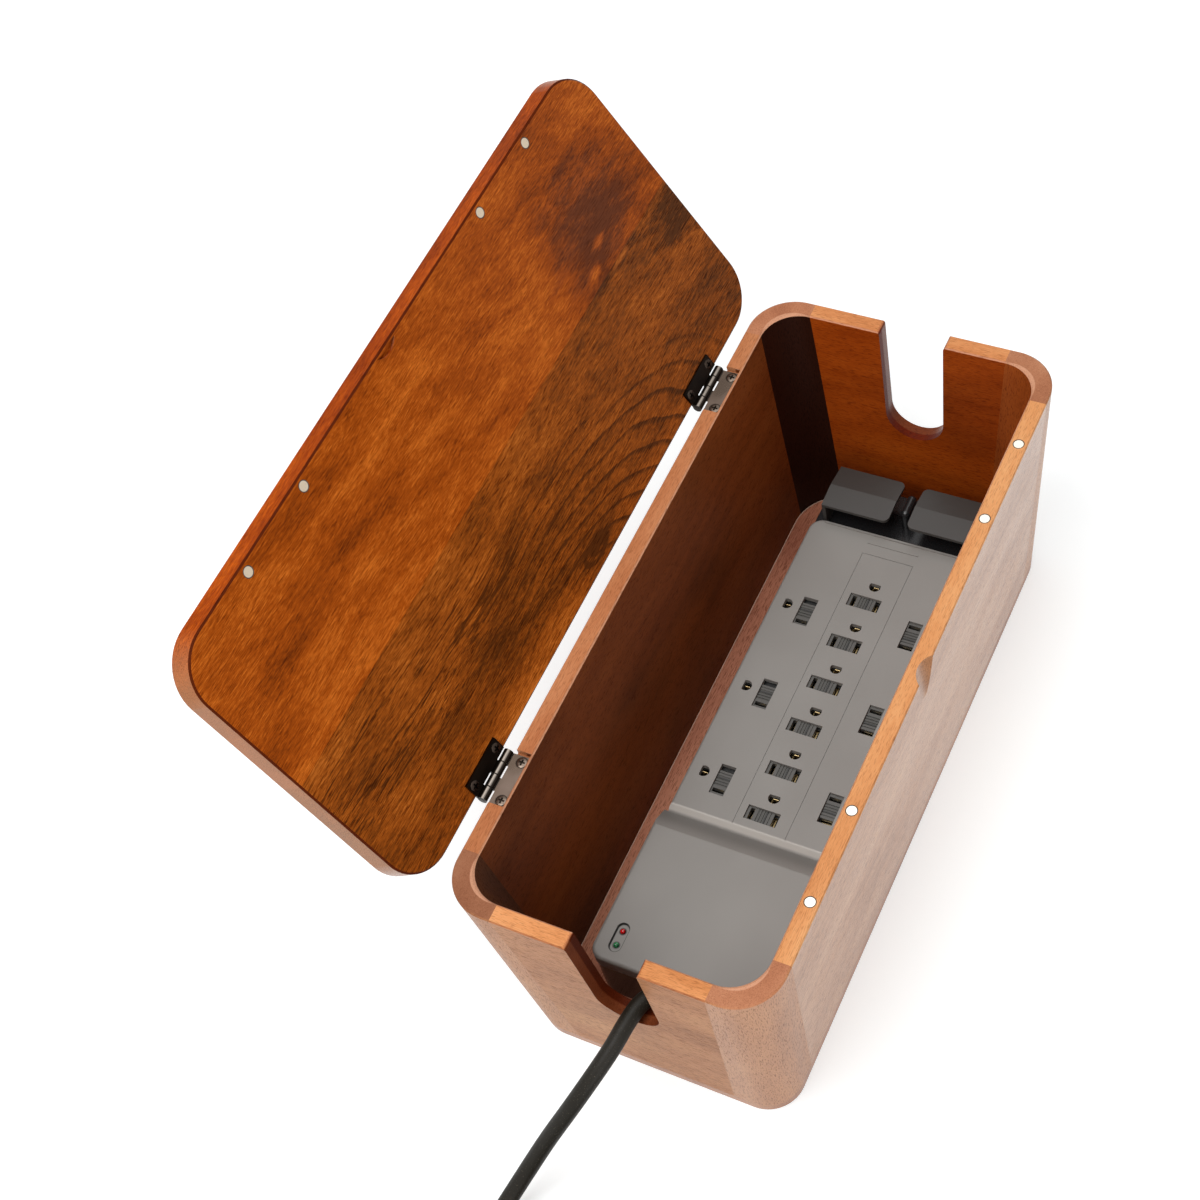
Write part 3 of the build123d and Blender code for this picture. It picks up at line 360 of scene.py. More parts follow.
board_wood = start("base_board_wood")
_, broad, ring, fibre, wool, pore = figure(wood_place(shift=(0.7, 0.2, 0.4)))
lacquered(shades(tone(broad, ring, fibre, wool), (0.3, 0.11, 0.04), (0.48, 0.19, 0.08),
                 (0.6, 0.27, 0.12)), pore, fibre)
dress(board_wood, "base_board")

floor_wood = start("floor_panel_wood")
_, broad, ring, fibre, wool, pore = figure(wood_place(shift=(0.2, 0.5, 0.1)))
panel_colour = shades(tone(broad, ring, fibre, wool), (0.36, 0.12, 0.07), (0.56, 0.22, 0.13),
                      (0.7, 0.31, 0.19))
facing_up = Wire.node("ShaderNodeSeparateXYZ", None, {
    0: Wire.node("ShaderNodeTexCoord", out=1)}, 2)
# The eased upper edges are painted lighter: a painted highlight.
arris_highlight = between(facing_up, 0.98, 0.9) * between(facing_up, 0.1, 0.3)
lacquered(blended(arris_highlight, panel_colour, (0.95, 0.62, 0.46, 1)), pore * (1 - arris_highlight), fibre)
dress(floor_wood, "floor_panel")

# ---- The four walls: 9.5 mm flat-sawn boards of the same hardwood, edge-glued to the
# corner blocks. The long walls' grain runs along them, the end walls' across the box, and
# the end walls are cut with a U-shaped slot for cords. Their top edges are paler, but the
# back wall's is painted darker as shade of the open lid. A highlight is painted along the
# eased inner edges of the rims, and the inner sides are darkened as painted shade.

rim_half, rim_lean, rim_height, round_corner = (0.19995, 0.08595), 0.012, 0.156, 0.025
wall_middle, rim_inner, side_softness = 0.00475, 0.0155, 0.001
# Widths of the band where a highlight is painted along the rims' inner edges.
highlight_wide, highlight_core = 0.0009, 0.0004
rim_fades_from, rim_fades_to = 0.006, 0.0025


def axis(vector, number):
    return Wire.node("ShaderNodeSeparateXYZ", None, {0: vector}, number)


def wall_sides():
    """Where a point of a wall is, each from 0 to 1: its inner side, its top edge, the eased
    corner along the top of its inner side, where a highlight is painted, and the dark clouds
    of the painted shade inside."""
    place = place_on_piece()
    height = axis(place, 2)
    lean = height * (rim_lean / rim_height) - (rim_lean + round_corner)
    over = [Wire.sum("MAXIMUM", Wire.sum("ABSOLUTE", axis(place, side)) - (lean + rim_half[side]),
                     0.0) for side in (0, 1)]
    from_corner = Wire.sum("SQRT", over[0] * over[0] + over[1] * over[1])
    inside = between(from_corner, round_corner - wall_middle,
                     round_corner - wall_middle - side_softness)
    facing = axis(Wire.node("ShaderNodeTexCoord", out=1), 2)
    top = between(facing, 0.5, 0.85) * between(height, rim_height - rim_fades_from,
                                               rim_height - rim_fades_to)
    eased = Wire.sum(
        "MAXIMUM",
        between(height, rim_height - highlight_wide, rim_height - highlight_core) * (1 - top) * inside,
        between(from_corner, rim_inner + highlight_wide, rim_inner + highlight_core) * top)
    shade_clouds = between(cloud(place, (6, 6, 11), 3, 0.55), 0.4, 0.72)
    return inside, top, eased, shade_clouds


def shaded_inside(colour, inside, shade_clouds, inner_shade, shade_cloud_depth):
    """The inner side darkened as painted shade, with dark clouds."""
    inner = blended(shade_clouds * shade_cloud_depth, blended(1.0, colour, inner_shade, "MULTIPLY"),
                    (0.012, 0.004, 0.002, 1))
    return blended(inside, colour, inner)


# The colour of the highlight painted along the eased rim edges.
edge_highlight_colour = (0.8, 0.42, 0.26, 1)

# The tint and cloud depth in each row darken the wall's inner side as painted shade; the back
# wall's tint is the darkest.
for name, turn, shift, gloss, sheen, inner_shade, shade_cloud_depth, outer, rim in (
        ("front_panel", (0, 0, 0), (0.0, 0.0, 0.0), 0.8, 0.22, (0.6, 0.35, 0.2, 1), 0.4,
         ((0.35, 0.135, 0.045), (0.51, 0.22, 0.085), (0.62, 0.3, 0.125)),
         ((0.6, 0.22, 0.065), (0.75, 0.32, 0.115), (0.85, 0.43, 0.18))),
        # The back wall's rim shades are darker than the other walls': painted shade of the open
        # lid.
        ("back_panel", (0, 0, 0), (0.31, 0.43, 0.2), 0.5, 0.1, (0.42, 0.24, 0.11, 1), 0.6,
         ((0.36, 0.13, 0.05), (0.52, 0.21, 0.09), (0.62, 0.28, 0.13)),
         ((0.37, 0.11, 0.04), (0.5, 0.18, 0.07), (0.6, 0.25, 0.11))),
        ("cord_end_panel", (0, 0, pi / 2), (0.5, 0.11, 0.3), 0.16, 0.08, (0.5, 0.3, 0.18, 1), 0.5,
         ((0.36, 0.14, 0.05), (0.52, 0.22, 0.09), (0.63, 0.3, 0.13)),
         ((0.6, 0.22, 0.07), (0.79, 0.33, 0.125), (0.9, 0.45, 0.2))),
        ("far_end_panel", (0, 0, pi / 2), (0.9, 0.27, 0.6), 0.4, 0.08, (0.74, 0.31, 0.06, 1), 0.45,
         ((0.36, 0.12, 0.04), (0.54, 0.22, 0.09), (0.66, 0.31, 0.14)),
         ((0.56, 0.19, 0.06), (0.72, 0.29, 0.11), (0.82, 0.39, 0.16)))):
    wall_wood = start(name + "_wood")
    _, broad, ring, fibre, wool, pore = figure(wood_place(turn, shift))
    inside, top, eased, shade_clouds = wall_sides()
    value = tone(broad, ring, fibre, wool)
    rim_colour = shades(value, *rim)
    colour = shaded_inside(shades(value, *outer), inside, shade_clouds, inner_shade, shade_cloud_depth)
    if name.endswith("end_panel"):
        facing = Wire.node("ShaderNodeTexCoord", out=1)
        slot_face = Wire.sum("MAXIMUM", between(Wire.sum("ABSOLUTE", axis(facing, 1)), 0.35, 0.8),
                             between(axis(facing, 2), 0.2, 0.5))
        slot_colour = blended(1.0, colour, (0.36, 0.2, 0.16, 1), "MULTIPLY")
        colour = blended(slot_face * (1 - top), colour, slot_colour)
        rim_colour = blended(slot_face * (1 - between(axis(facing, 2), 0.75, 0.99)) * 0.6,
                             rim_colour, (0.5, 0.15, 0.07, 1))
    colour = blended(top, colour, rim_colour)
    rubbed_out = between(axis(place_on_piece(), 0), -0.19, 0.02, (0.7, 1.0))
    # A highlight is painted along the eased inner edge of the rim.
    lacquered(blended(eased * 0.7, colour, edge_highlight_colour), pore * (1 - top * 0.4), fibre,
              gloss=(1 - inside) * rubbed_out * between(broad, 0.34, 0.66, (0.88, 1.1)) * gloss,
              sheen=sheen)
    dress(wall_wood, name)

# ---- The four corner blocks: solid blocks with upright grain, routed to the round of the
# corner inside and out, so that their tops show browner end grain beside the long grain of
# the walls' edges.

# Each block's inner side is darkened as painted shade, the back far one nearly to black, and the
# back near block's end-grain top is darkened as painted shade under the lid.
for name, shift, gloss, inner_shade, painted_top_shade in (
        ("corner_block_front_near", (0.0, 0.0, 0.4), 0.38, (0.5, 0.3, 0.2, 1), 1.0),
        ("corner_block_back_near", (0.2, 0.13, 0.4), 0.2, (0.25, 0.18, 0.14, 1), 0.68),
        ("corner_block_front_far", (0.4, 0.26, 0.4), 0.6, (0.72, 0.36, 0.14, 1), 0.9),
        ("corner_block_back_far", (0.6, 0.39, 0.4), 0.5, (0.05, 0.03, 0.035, 1), 1.0)):
    block_wood = start(name + "_wood")
    _, broad, ring, fibre, wool, pore = figure(wood_place((0, pi / 2, 0), shift), 7)
    inside, top, eased, shade_clouds = wall_sides()
    value = tone(broad, ring, fibre, wool)
    colour = shades(value, (0.36, 0.14, 0.052), (0.53, 0.23, 0.098), (0.64, 0.31, 0.14))
    colour = shaded_inside(colour, inside, shade_clouds, inner_shade, 0.5)
    end_grain = shades(value, *(tuple(part * painted_top_shade for part in shade) for shade in (
        (0.36, 0.125, 0.06), (0.5, 0.2, 0.1), (0.6, 0.27, 0.145))))
    colour = blended(top, colour, end_grain)
    # A highlight is painted along the eased inner edge of the rim.
    lacquered(blended(eased * 0.6, colour, edge_highlight_colour), pore * (1 - top * 0.5), fibre,
              gloss=(1 - inside) * gloss, sheen=0.1)
    dress(block_wood, name)

# ---- The lid: two boards glued edge to edge, 12.7 mm thick, with rounded corners and a
# finger hollow. The outer board is orange, with a smoke-dark patch and bright flecks at its
# far end. The hinge board is browner, with dark streaks and arched rings round a small knot.
# Two broad patches near the hinge are darkened as painted shade, and a thin line of painted
# shade runs along the rounded edges.

lid_open = 119.3
lid_lean = radians(60.74)
lid_hinge = (0, 0.0897, 0.1545)


def on_lid(along, out_from_hinge):
    """A point of the lid's face, in grain coordinates, from millimetres."""
    hinge_out = lid_hinge[1] * cos(lid_lean) + lid_hinge[2] * sin(lid_lean)
    hinge_in = lid_hinge[2] * cos(lid_lean) - lid_hinge[1] * sin(lid_lean)
    return (along / 1000, hinge_out + out_from_hinge / 1000, hinge_in)


def from_spot(place, spot, spread):
    """Distance from a spot on the lid, 1 at the edge of its spread in millimetres."""
    off = Wire.node("ShaderNodeVectorMath", {"operation": "SUBTRACT"}, {0: place, 1: on_lid(*spot)})
    return Wire.node("ShaderNodeVectorMath", {"operation": "LENGTH"}, {
        0: stretched(off, (1000 / spread[0], 1000 / spread[1], 0))}, out=1)


def patch(place, ragged, spot, spread):
    """A soft patch with a ragged edge, 1 at its middle."""
    return between(from_spot(place, spot, spread) + (ragged - 0.5) * 1.4, 1.25, 0.1)


lid_wood = start("lid_board_wood")
straight = wood_place((-lid_lean, 0, 0))
bend, broad, ring, fibre, wool, pore = figure(straight, 5, 0.02, (150, 2500, 2500))
ragged = cloud(straight, (42, 150, 150), 4, 0.65)
curl = cloud(Wire.node("ShaderNodeMapping", None, {"Vector": bend, "Rotation": (0, 0, 0.35)}),
             (24, 85, 85), 4, 0.65)
along, out = axis(straight, 0), axis(straight, 1)
glue_line = on_lid(0, 90)[1]
board_softness, seam_half, seam_core = 0.0003, 0.0004, 0.0001
hinge_board = between(out, glue_line + board_softness, glue_line - board_softness)
lighter = (patch(bend, ragged, (85, 118), (44, 26)) * 0.14
           + patch(bend, ragged, (-168, 112), (44, 26)) * 0.08
           + patch(bend, ragged, (-100, 103), (60, 14)) * 0.05
           + patch(bend, ragged, (-60, 16), (70, 12)) * 0.12
           + patch(bend, ragged, (122, 106), (8, 4)) * 0.4
           + patch(bend, ragged, (136, 114), (10, 3)) * 0.4
           + patch(bend, ragged, (141, 97), (12, 2.5)) * 0.3)
dark_figure_and_shade = (patch(bend, ragged, (140, 124), (56, 38)) * 0.34
          + patch(bend, ragged, (126, 104), (12, 14)) * 0.16
          + patch(bend, ragged, (192, 84), (26, 15)) * 0.26
          + patch(bend, ragged, (-150, 142), (34, 12)) * 0.16
          # These two broad patches near the hinge are painted shade.
          + patch(bend, ragged, (-4, 34), (64, 20)) * 0.08
          + patch(bend, ragged, (-92, 44), (52, 14)) * 0.07
          + patch(bend, ragged, (8, 22), (10, 4)) * 0.3)
arch = from_spot(bend, (-26, 4), (30, 11)) + (ragged - 0.5) * 0.1
arch_wave = Wire.sum("FRACT", arch * 1.75)
arch_lines = ((between(arch_wave, 0.7, 0.93) * between(arch_wave, 1.0, 0.95) + arch_wave * 0.25)
              * between(arch, 1.2, 1.8) * between(arch, 7.4, 4.6) * between(along, -0.13, 0.03))
from_knot = from_spot(bend, (6, 21), (12, 5)) + (ragged - 0.5) * 0.3
knot = (between(from_knot, 0.5, 0.2)
        + between(Wire.sum("ABSOLUTE", from_knot - 0.95), 0.22, 0.06) * 0.8
        + between(from_knot, 1.8, 0.9) * 0.25)
streaks = (between(cloud(bend, (11, 780, 780), 3, 0.7), 0.52, 0.6) * hinge_board
           * (between(from_spot(bend, (-150, 72), (130, 26)), 1.2, 0.3) * 0.8 + 0.2))
seam = between(Wire.sum("ABSOLUTE", out - glue_line), seam_half, seam_core)
face_tone = (tone(broad, ring, fibre, wool, (0.5, 0.05, 0.75, 0.5)) + lighter - dark_figure_and_shade
             + (curl - 0.5) * 0.55 - hinge_board * 0.06 - arch_lines * 0.2 - streaks * 0.32
             - knot * 0.3 - seam * 0.08)
orange = shades(face_tone, (0.14, 0.026, 0.003), (0.4, 0.076, 0.005), (0.74, 0.19, 0.02))
brown = shades(face_tone, (0.1, 0.026, 0.004), (0.36, 0.084, 0.008), (0.68, 0.2, 0.028))
lid_colour = blended(hinge_board, orange, brown)
far_bloom = between(along, -0.05, 0.16) * 0.5 + patch(bend, ragged, (142, 124), (46, 34)) * 0.5
lid_colour = blended(far_bloom, lid_colour, (0.0, 0.016, 0.016, 1), "ADD")
facing = Wire.node("ShaderNodeTexCoord", out=1)
off_face = Wire.sum("ABSOLUTE", Wire.node("ShaderNodeVectorMath", {"operation": "DOT_PRODUCT"}, {
    0: facing, 1: (0, -sin(radians(lid_open)), -cos(radians(lid_open)))}, out=1))
# A thin dark line of painted shade runs along the rounded edges, between the face and the edge
# band.
edge_shade_line = between(off_face, 0.98, 0.9) * between(off_face, 0.4, 0.55)
edge_band = between(off_face, 0.5, 0.35)
end_facing = Wire.sum("ABSOLUTE", axis(facing, 0))
long_edge = blended(1.0, lid_colour, (0.92, 0.7, 0.42, 1), "MULTIPLY")
lid_colour = blended(edge_band, lid_colour, blended(
    end_facing * 0.7, long_edge, (0.52, 0.26, 0.13, 1)))
lid_colour = blended(edge_shade_line, lid_colour, (0.1, 0.016, 0.003, 1))
lacquered(lid_colour, pore * (hinge_board * 0.35 + 0.65), fibre, pore_depth=0.75,
          gloss=end_facing * 0.9 + 0.02, sheen=0.02)
dress(lid_wood, "lid_board")

# ---- The magnets: nickel-plated discs pressed into shallow holes, four in the front wall's
# top edge and four in the lid, which meet when the lid is shut. A ring of painted shade at
# the edge of each face stands for the dark gap round it.

magnet_xs = (-0.1375, -0.087, 0.091, 0.141)
magnet_radius, magnet_half_length, gap_shade_width = 0.003, 0.0015, 0.0005
rim_from = ((magnet_radius - gap_shade_width) ** 2 + magnet_half_length ** 2) ** 0.5
rim_softness = 0.00008

# The lid's magnets are given darker nickel than the box's: painted shade.
for name, bright, dull in (("box_magnets", (0.82, 0.76, 0.66, 1), (0.66, 0.59, 0.49, 1)),
                           ("lid_magnets", (0.6, 0.5, 0.38, 1), (0.36, 0.29, 0.22, 1))):
    magnet_metal = start(name + "_nickel")
    place = place_on_piece()
    brushed = cloud(place, (400, 2600, 400), 3, 0.6)
    speck = between(cloud(place, (1500, 1500, 1500), 3, 0.7), 0.55, 0.75)
    low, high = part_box(name)
    middle_y, middle_z = (low[1] + high[1]) / 2, (low[2] + high[2]) / 2
    nearest, *others = [Wire.node("ShaderNodeVectorMath", {"operation": "DISTANCE"}, {
        0: place, 1: (magnet_x, middle_y, middle_z)}, out=1) for magnet_x in magnet_xs]
    for other in others:
        nearest = Wire.sum("MINIMUM", nearest, other)
    # A ring of painted shade at the edge of each magnet's face, for the gap.
    shadowed = between(nearest, rim_from, rim_from + rim_softness)
    nickel = blended(speck * 0.5, bright, dull)
    finished({"Base Color": blended(shadowed, nickel, (0.03, 0.018, 0.01, 1)),
              "Metallic": 1 - shadowed,
              "Roughness": brushed * 0.25 + 0.3 + speck * 0.15}, brushed, 0.00003, 0.35)
    dress(magnet_metal, name)

# ---- The two butt hinges: stamped steel leaves and rolled knuckles with a dark bronze
# plating, each leaf held by two cross-head screws. The knuckles are painted near black as
# shade, with a painted highlight streak along them; the lid's leaf and screws get near-black
# plating as painted shade, and a ring of painted shade and grime lies round each screw head.

pin_place = lid_hinge[1:]
barrel_out, soft_edge = 0.0027, 0.0003
highlight_direction = (0, -0.3, 0.954)
screw_xs = (-0.13925, -0.11675, 0.11675, 0.13925)
box_screw_place, lid_screw_place = (0.0808, 0.1539), (0.0937, 0.1604)
shade_and_grime_ring = 0.0031
shade_and_grime = (0.012, 0.009, 0.007, 1)
leaf_ends = [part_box("hinge_box_leaf_far")[side][0] for side in (0, 1)]
hinge_x, quarter_leaf = sum(leaf_ends) / 2, (leaf_ends[1] - leaf_ends[0]) / 4
joint_half = 0.00022

for name, dark, light, screw_place, pieces in (
        ("box_leaf_bronze", (0.11, 0.08, 0.06, 1), (0.17, 0.125, 0.1, 1), box_screw_place,
         ("hinge_box_leaf_near", "hinge_box_leaf_far", "hinge_pin_near", "hinge_pin_far",
          "box_hinge_screws")),
        # The lid's leaf is given near-black plating: painted shade.
        ("lid_leaf_bronze", (0.006, 0.004, 0.003, 1), (0.014, 0.009, 0.006, 1), lid_screw_place,
         ("hinge_lid_leaf_near", "hinge_lid_leaf_far", "lid_hinge_screws"))):
    plated = start(name)
    place = place_on_piece()
    rub = cloud(place, (60, 90, 90), 2, 0.5)
    speck = between(cloud(place, (2200, 2200, 2200), 2, 0.6), 0.6, 0.72)
    from_pin = [axis(place, 1) - pin_place[0], axis(place, 2) - pin_place[1]]
    on_barrel = between(Wire.sum("SQRT", from_pin[0] * from_pin[0] + from_pin[1] * from_pin[1]),
                        barrel_out + soft_edge, barrel_out)
    # A highlight streak is painted along the side of each knuckle that faces up and out.
    highlight_band = between(Wire.node("ShaderNodeVectorMath", {"operation": "DOT_PRODUCT"}, {
        0: Wire.node("ShaderNodeTexCoord", out=1), 1: highlight_direction}, out=1), 0.93, 0.995)
    plating = blended(between(rub, 0.3, 0.7), dark, light)
    # A ring of painted shade and grime round each screw head.
    for screw_x in screw_xs:
        off = Wire.node("ShaderNodeVectorMath", {"operation": "DISTANCE"}, {
            0: place, 1: (screw_x, *screw_place)}, out=1)
        plating = blended(between(off, shade_and_grime_ring + soft_edge, shade_and_grime_ring) * 0.8, plating, shade_and_grime)
    from_middle = Wire.sum("ABSOLUTE", Wire.sum("ABSOLUTE", axis(place, 0)) - hinge_x)
    joint = Wire.sum("MAXIMUM", between(from_middle, joint_half * 2, joint_half), between(
        Wire.sum("ABSOLUTE", from_middle - quarter_leaf), joint_half * 2, joint_half))
    # The knuckles: near black as painted shade, with the painted highlight streak, broken at the
    # joints.
    barrel = blended(highlight_band * (1 - joint) * 0.8, (0.022, 0.016, 0.012, 1), (0.32, 0.275, 0.235, 1))
    finished({"Base Color": blended(on_barrel, plating, barrel), "Metallic": 0.95,
              "Roughness": rub * 0.08 + 0.24 + speck * 0.06}, speck, 0.00001, 0.12)
    dress(plated, *pieces)

# The screws' oval heads: turned steel with the same plating, each with its cross cut in. They
# stand 0.45 mm off the leaves, which still shut without touching.
head_radius, head_rise, head_under = 0.0028, 0.00045, 0.0002
driver_length, driver_width, driver_height = 0.0034, 0.001, (head_rise + head_under) * 3
bpy.ops.object.select_all(action="DESELECT")
bpy.ops.mesh.primitive_uv_sphere_add(segments=32, ring_count=16, radius=1)
screw_head = bpy.context.object
screw_head.scale = (head_radius, head_radius, head_rise)
bpy.ops.object.transform_apply(location=False, rotation=False, scale=True)
bpy.ops.object.mode_set(mode="EDIT")
bpy.ops.mesh.select_all(action="SELECT")
bpy.ops.mesh.bisect(plane_co=(0, 0, 0), plane_no=(0, 0, 1), clear_inner=True)
bpy.ops.mesh.select_all(action="SELECT")
bpy.ops.mesh.region_to_loop()
bpy.ops.mesh.extrude_region_move(TRANSFORM_OT_translate={"value": (0, 0, -head_under)})
bpy.ops.mesh.edge_face_add()
bpy.ops.mesh.select_all(action="SELECT")
bpy.ops.mesh.normals_make_consistent(inside=False)
bpy.ops.object.mode_set(mode="OBJECT")
for turned in (0, pi / 2):
    bpy.ops.object.select_all(action="DESELECT")
    bpy.ops.mesh.primitive_cube_add(size=1, location=(0, 0, head_rise), rotation=(0, 0, turned))
    driver = bpy.context.object
    driver.scale = (driver_length, driver_width, driver_height)
    bpy.context.view_layer.objects.active = screw_head
    cross = screw_head.modifiers.new("cross", "BOOLEAN")
    cross.operation, cross.object, cross.solver = "DIFFERENCE", driver, "EXACT"
    bpy.ops.object.modifier_apply(modifier=cross.name)
    bpy.data.objects.remove(driver)
bpy.ops.object.select_all(action="DESELECT")
screw_head.select_set(True)
bpy.ops.object.shade_smooth_by_angle(angle=radians(25))

lid_turn = radians(180 - lid_open)
# The lid's screw heads are given darker plating than the box's: painted shade.
for body, name, screw_place, turned, shade in (
        ("box", "box_screw_head", box_screw_place, 0, (0.16, 0.125, 0.1)),
        ("lid", "lid_screw_head", lid_screw_place, lid_turn, (0.05, 0.036, 0.028))):
    head_metal = start(name + "_bronze")
    place = place_on_piece()
    rub = cloud(place, (700, 700, 700), 3, 0.6)
    finished({"Base Color": blended(rub, (*(0.5 * part for part in shade), 1),
                                    (*(1.5 * part for part in shade), 1)), "Metallic": 1.0,
              "Roughness": rub * 0.15 + 0.2}, rub, 0.00002, 0.2)
    for number, screw_x in enumerate(screw_xs, 1):
        head = bpy.data.objects.new(f"{name}_{number}", screw_head.data.copy())
        bpy.context.collection.objects.link(head)
        head.data.transform(Matrix.Translation((screw_x, *screw_place))
                            @ Matrix.Rotation(turned, 4, "X"))
        head.data.materials.append(head_metal)
        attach(head, body)
bpy.data.objects.remove(screw_head)

# ---- The power strip's top cover: one warm grey moulding with a raised label end, a
# sunken outlet deck, fine panel lines and the windows that the shutters slide under. The
# housing screws hold it to the lower shell. On the step between deck and label end a
# highlight is painted along the lip and painted shade in the valley, and painted shade rings
# the lamp pocket and each lamp.

valley_x, deck_slope, label_slope = -0.0686, 0.0036, 0.0124
lamp_places = [(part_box(lamp)[0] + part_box(lamp)[1]) / 2 for lamp in ("red_lamp", "green_lamp")]
pocket_middle = (lamp_places[0] + lamp_places[1]) / 2
pocket_half, pocket_radius = 0.00495, 0.0034
ring_from, ring_inner, ring_outer, ring_to = -0.0007, -0.0003, 0.0001, 0.0003
lamp_ring_out, lamp_ring_in = 0.0024, 0.0018

cover_grey = start("cover_grey")
place = place_on_piece()
mould = cloud(place, (2400, 2400, 2400), 2, 0.6)
patchy = cloud(place, (14, 18, 14), 2, 0.5)
cover_colour = blended(between(patchy, 0.3, 0.7),
                       (0.262, 0.246, 0.226, 1), (0.292, 0.276, 0.255, 1))
# The deck-side slope of the step is painted lighter, a painted highlight, and the label-side slope
# near the valley darker, painted shade.
beyond = axis(place, 0) - valley_x
highlight_band = between(beyond, 0.0002, 0.0014) * between(beyond, deck_slope * 1.3, deck_slope)
valley_shade = between(beyond, 0.0006, -0.0008) * between(beyond, -label_slope, -0.003)
cover_colour = blended(highlight_band * 0.6, cover_colour, (0.62, 0.575, 0.52, 1))
cover_colour = blended(valley_shade * 0.55, cover_colour, (0.09, 0.085, 0.078, 1))
# Dark rings of painted shade round the sunken lamp pocket and round each lamp.
pocket_x = Wire.sum("MAXIMUM", Wire.sum("ABSOLUTE", axis(place, 0) - pocket_middle[0])
                    - pocket_half, 0.0)
pocket_y = axis(place, 1) - pocket_middle[1]
from_pocket = Wire.sum("SQRT", pocket_x * pocket_x + pocket_y * pocket_y)
pocket_shade_ring = (between(from_pocket, pocket_radius + ring_from, pocket_radius + ring_inner)
               * between(from_pocket, pocket_radius + ring_to, pocket_radius + ring_outer))
lamp_shade_rings = [between(Wire.node("ShaderNodeVectorMath", {"operation": "LENGTH"}, {
    0: stretched(Wire.node("ShaderNodeVectorMath", {"operation": "SUBTRACT"},
                           {0: place, 1: lamp}), (1, 1, 0))}, out=1),
                      lamp_ring_out, lamp_ring_in)
              for lamp in lamp_places]
cover_colour = blended(Wire.sum("MAXIMUM", pocket_shade_ring, (lamp_shade_rings[0] + lamp_shade_rings[1]) * 0.8),
                       cover_colour, (0.02, 0.018, 0.015, 1))
finished({"Base Color": cover_colour, "Roughness": mould * 0.16 + 0.36}, mould, 0.00005, 0.3)
dress(cover_grey, "strip_top_cover")

# ---- The strip's lower shell and the cord post: glossy black mouldings. The shell shows as
# the dark rim round the cover and the floor between the two cord guides.

shell_black = start("shell_black")
place = place_on_piece()
mould = cloud(place, (1800, 1800, 1800), 2, 0.6)
finished({"Base Color": blended(mould * 0.5, (0.012, 0.012, 0.013, 1), (0.024, 0.023, 0.023, 1)),
          "Roughness": mould * 0.16 + 0.12}, mould, 0.00003, 0.25)
dress(shell_black, "strip_lower_shell", "cord_guide_post")

# ---- The two cord guide wings: darker grey mouldings clipped to the far end of the strip,
# one each side of the post, finely textured.

guide_grey = start("guide_grey")
place = place_on_piece()
mould = cloud(place, (2600, 2600, 2600), 2, 0.65)
finished({"Base Color": blended(mould * 0.6, (0.042, 0.038, 0.034, 1), (0.058, 0.053, 0.048, 1)),
          "Roughness": mould * 0.2 + 0.36}, mould, 0.00006, 0.35)
dress(guide_grey, "cord_guide_left", "cord_guide_right")

# ---- The twelve outlet shutters and the tray that they slide in: dark grey plates with
# ribs for a fingertip, over a black tray, and a dark line of painted shade across each plate.
# The middle row slides across the strip, and the two outer rows slide along it.

middle_row, left_row, right_row = range(1, 7), range(7, 10), range(10, 13)

for number in (*middle_row, *left_row, *right_row):
    name = f"outlet_shutter_{number:02d}"
    low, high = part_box(name)
    side = 1 if number in middle_row else 0
    length = high[side] - low[side]
    shutter_grey = start(f"shutter_grey_{number:02d}")
    place = place_on_piece()
    mould = cloud(place, (2200, 2200, 2200), 2, 0.6)
    if number in left_row:
        along = (axis(place, side) - low[side]) * (1 / length)
    else:
        along = (high[side] - axis(place, side)) * (1 / length)
    # A dark line of painted shade runs across the plate at 72 % of its length.
    groove_shade_line = between(Wire.sum("ABSOLUTE", along - 0.72), 0.04, 0.02)
    grip = between(along, 0.36, 0.4) * between(along, 0.74, 0.7)
    shutter_colour = blended(mould * 0.6, (0.075, 0.07, 0.063, 1), (0.105, 0.099, 0.09, 1))
    shutter_colour = blended(grip * 0.5, shutter_colour, (0.045, 0.043, 0.036, 1))
    finished({"Base Color": blended(groove_shade_line * 0.85, shutter_colour, (0.008, 0.007, 0.006, 1)),
              "Roughness": mould * 0.2 + 0.3}, mould, 0.00005, 0.3)
    dress(shutter_grey, name)

tray_black = start("tray_black")
place = place_on_piece()
mould = cloud(place, (1500, 1500, 1500), 2, 0.6)
finished({"Base Color": blended(mould * 0.5, (0.016, 0.016, 0.016, 1), (0.032, 0.031, 0.03, 1)),
          "Roughness": mould * 0.25 + 0.35}, mould, 0.00005, 0.3)
dress(tray_black, "shutter_tray", "contact_carrier")

# ---- The contacts: stamped brass strips under the outlets, seen as bright glints in the
# ground holes and beside the shutters.

contact_brass = start("contact_brass")
place = place_on_piece()
rub = cloud(place, (300, 1800, 900), 3, 0.6)
finished({"Base Color": blended(rub, (0.62, 0.42, 0.18, 1), (0.84, 0.66, 0.36, 1)),
          "Metallic": 1.0, "Roughness": rub * 0.22 + 0.18}, rub, 0.00003, 0.3)
dress(contact_brass, "ground_contacts", "neutral_contacts", "live_contacts")

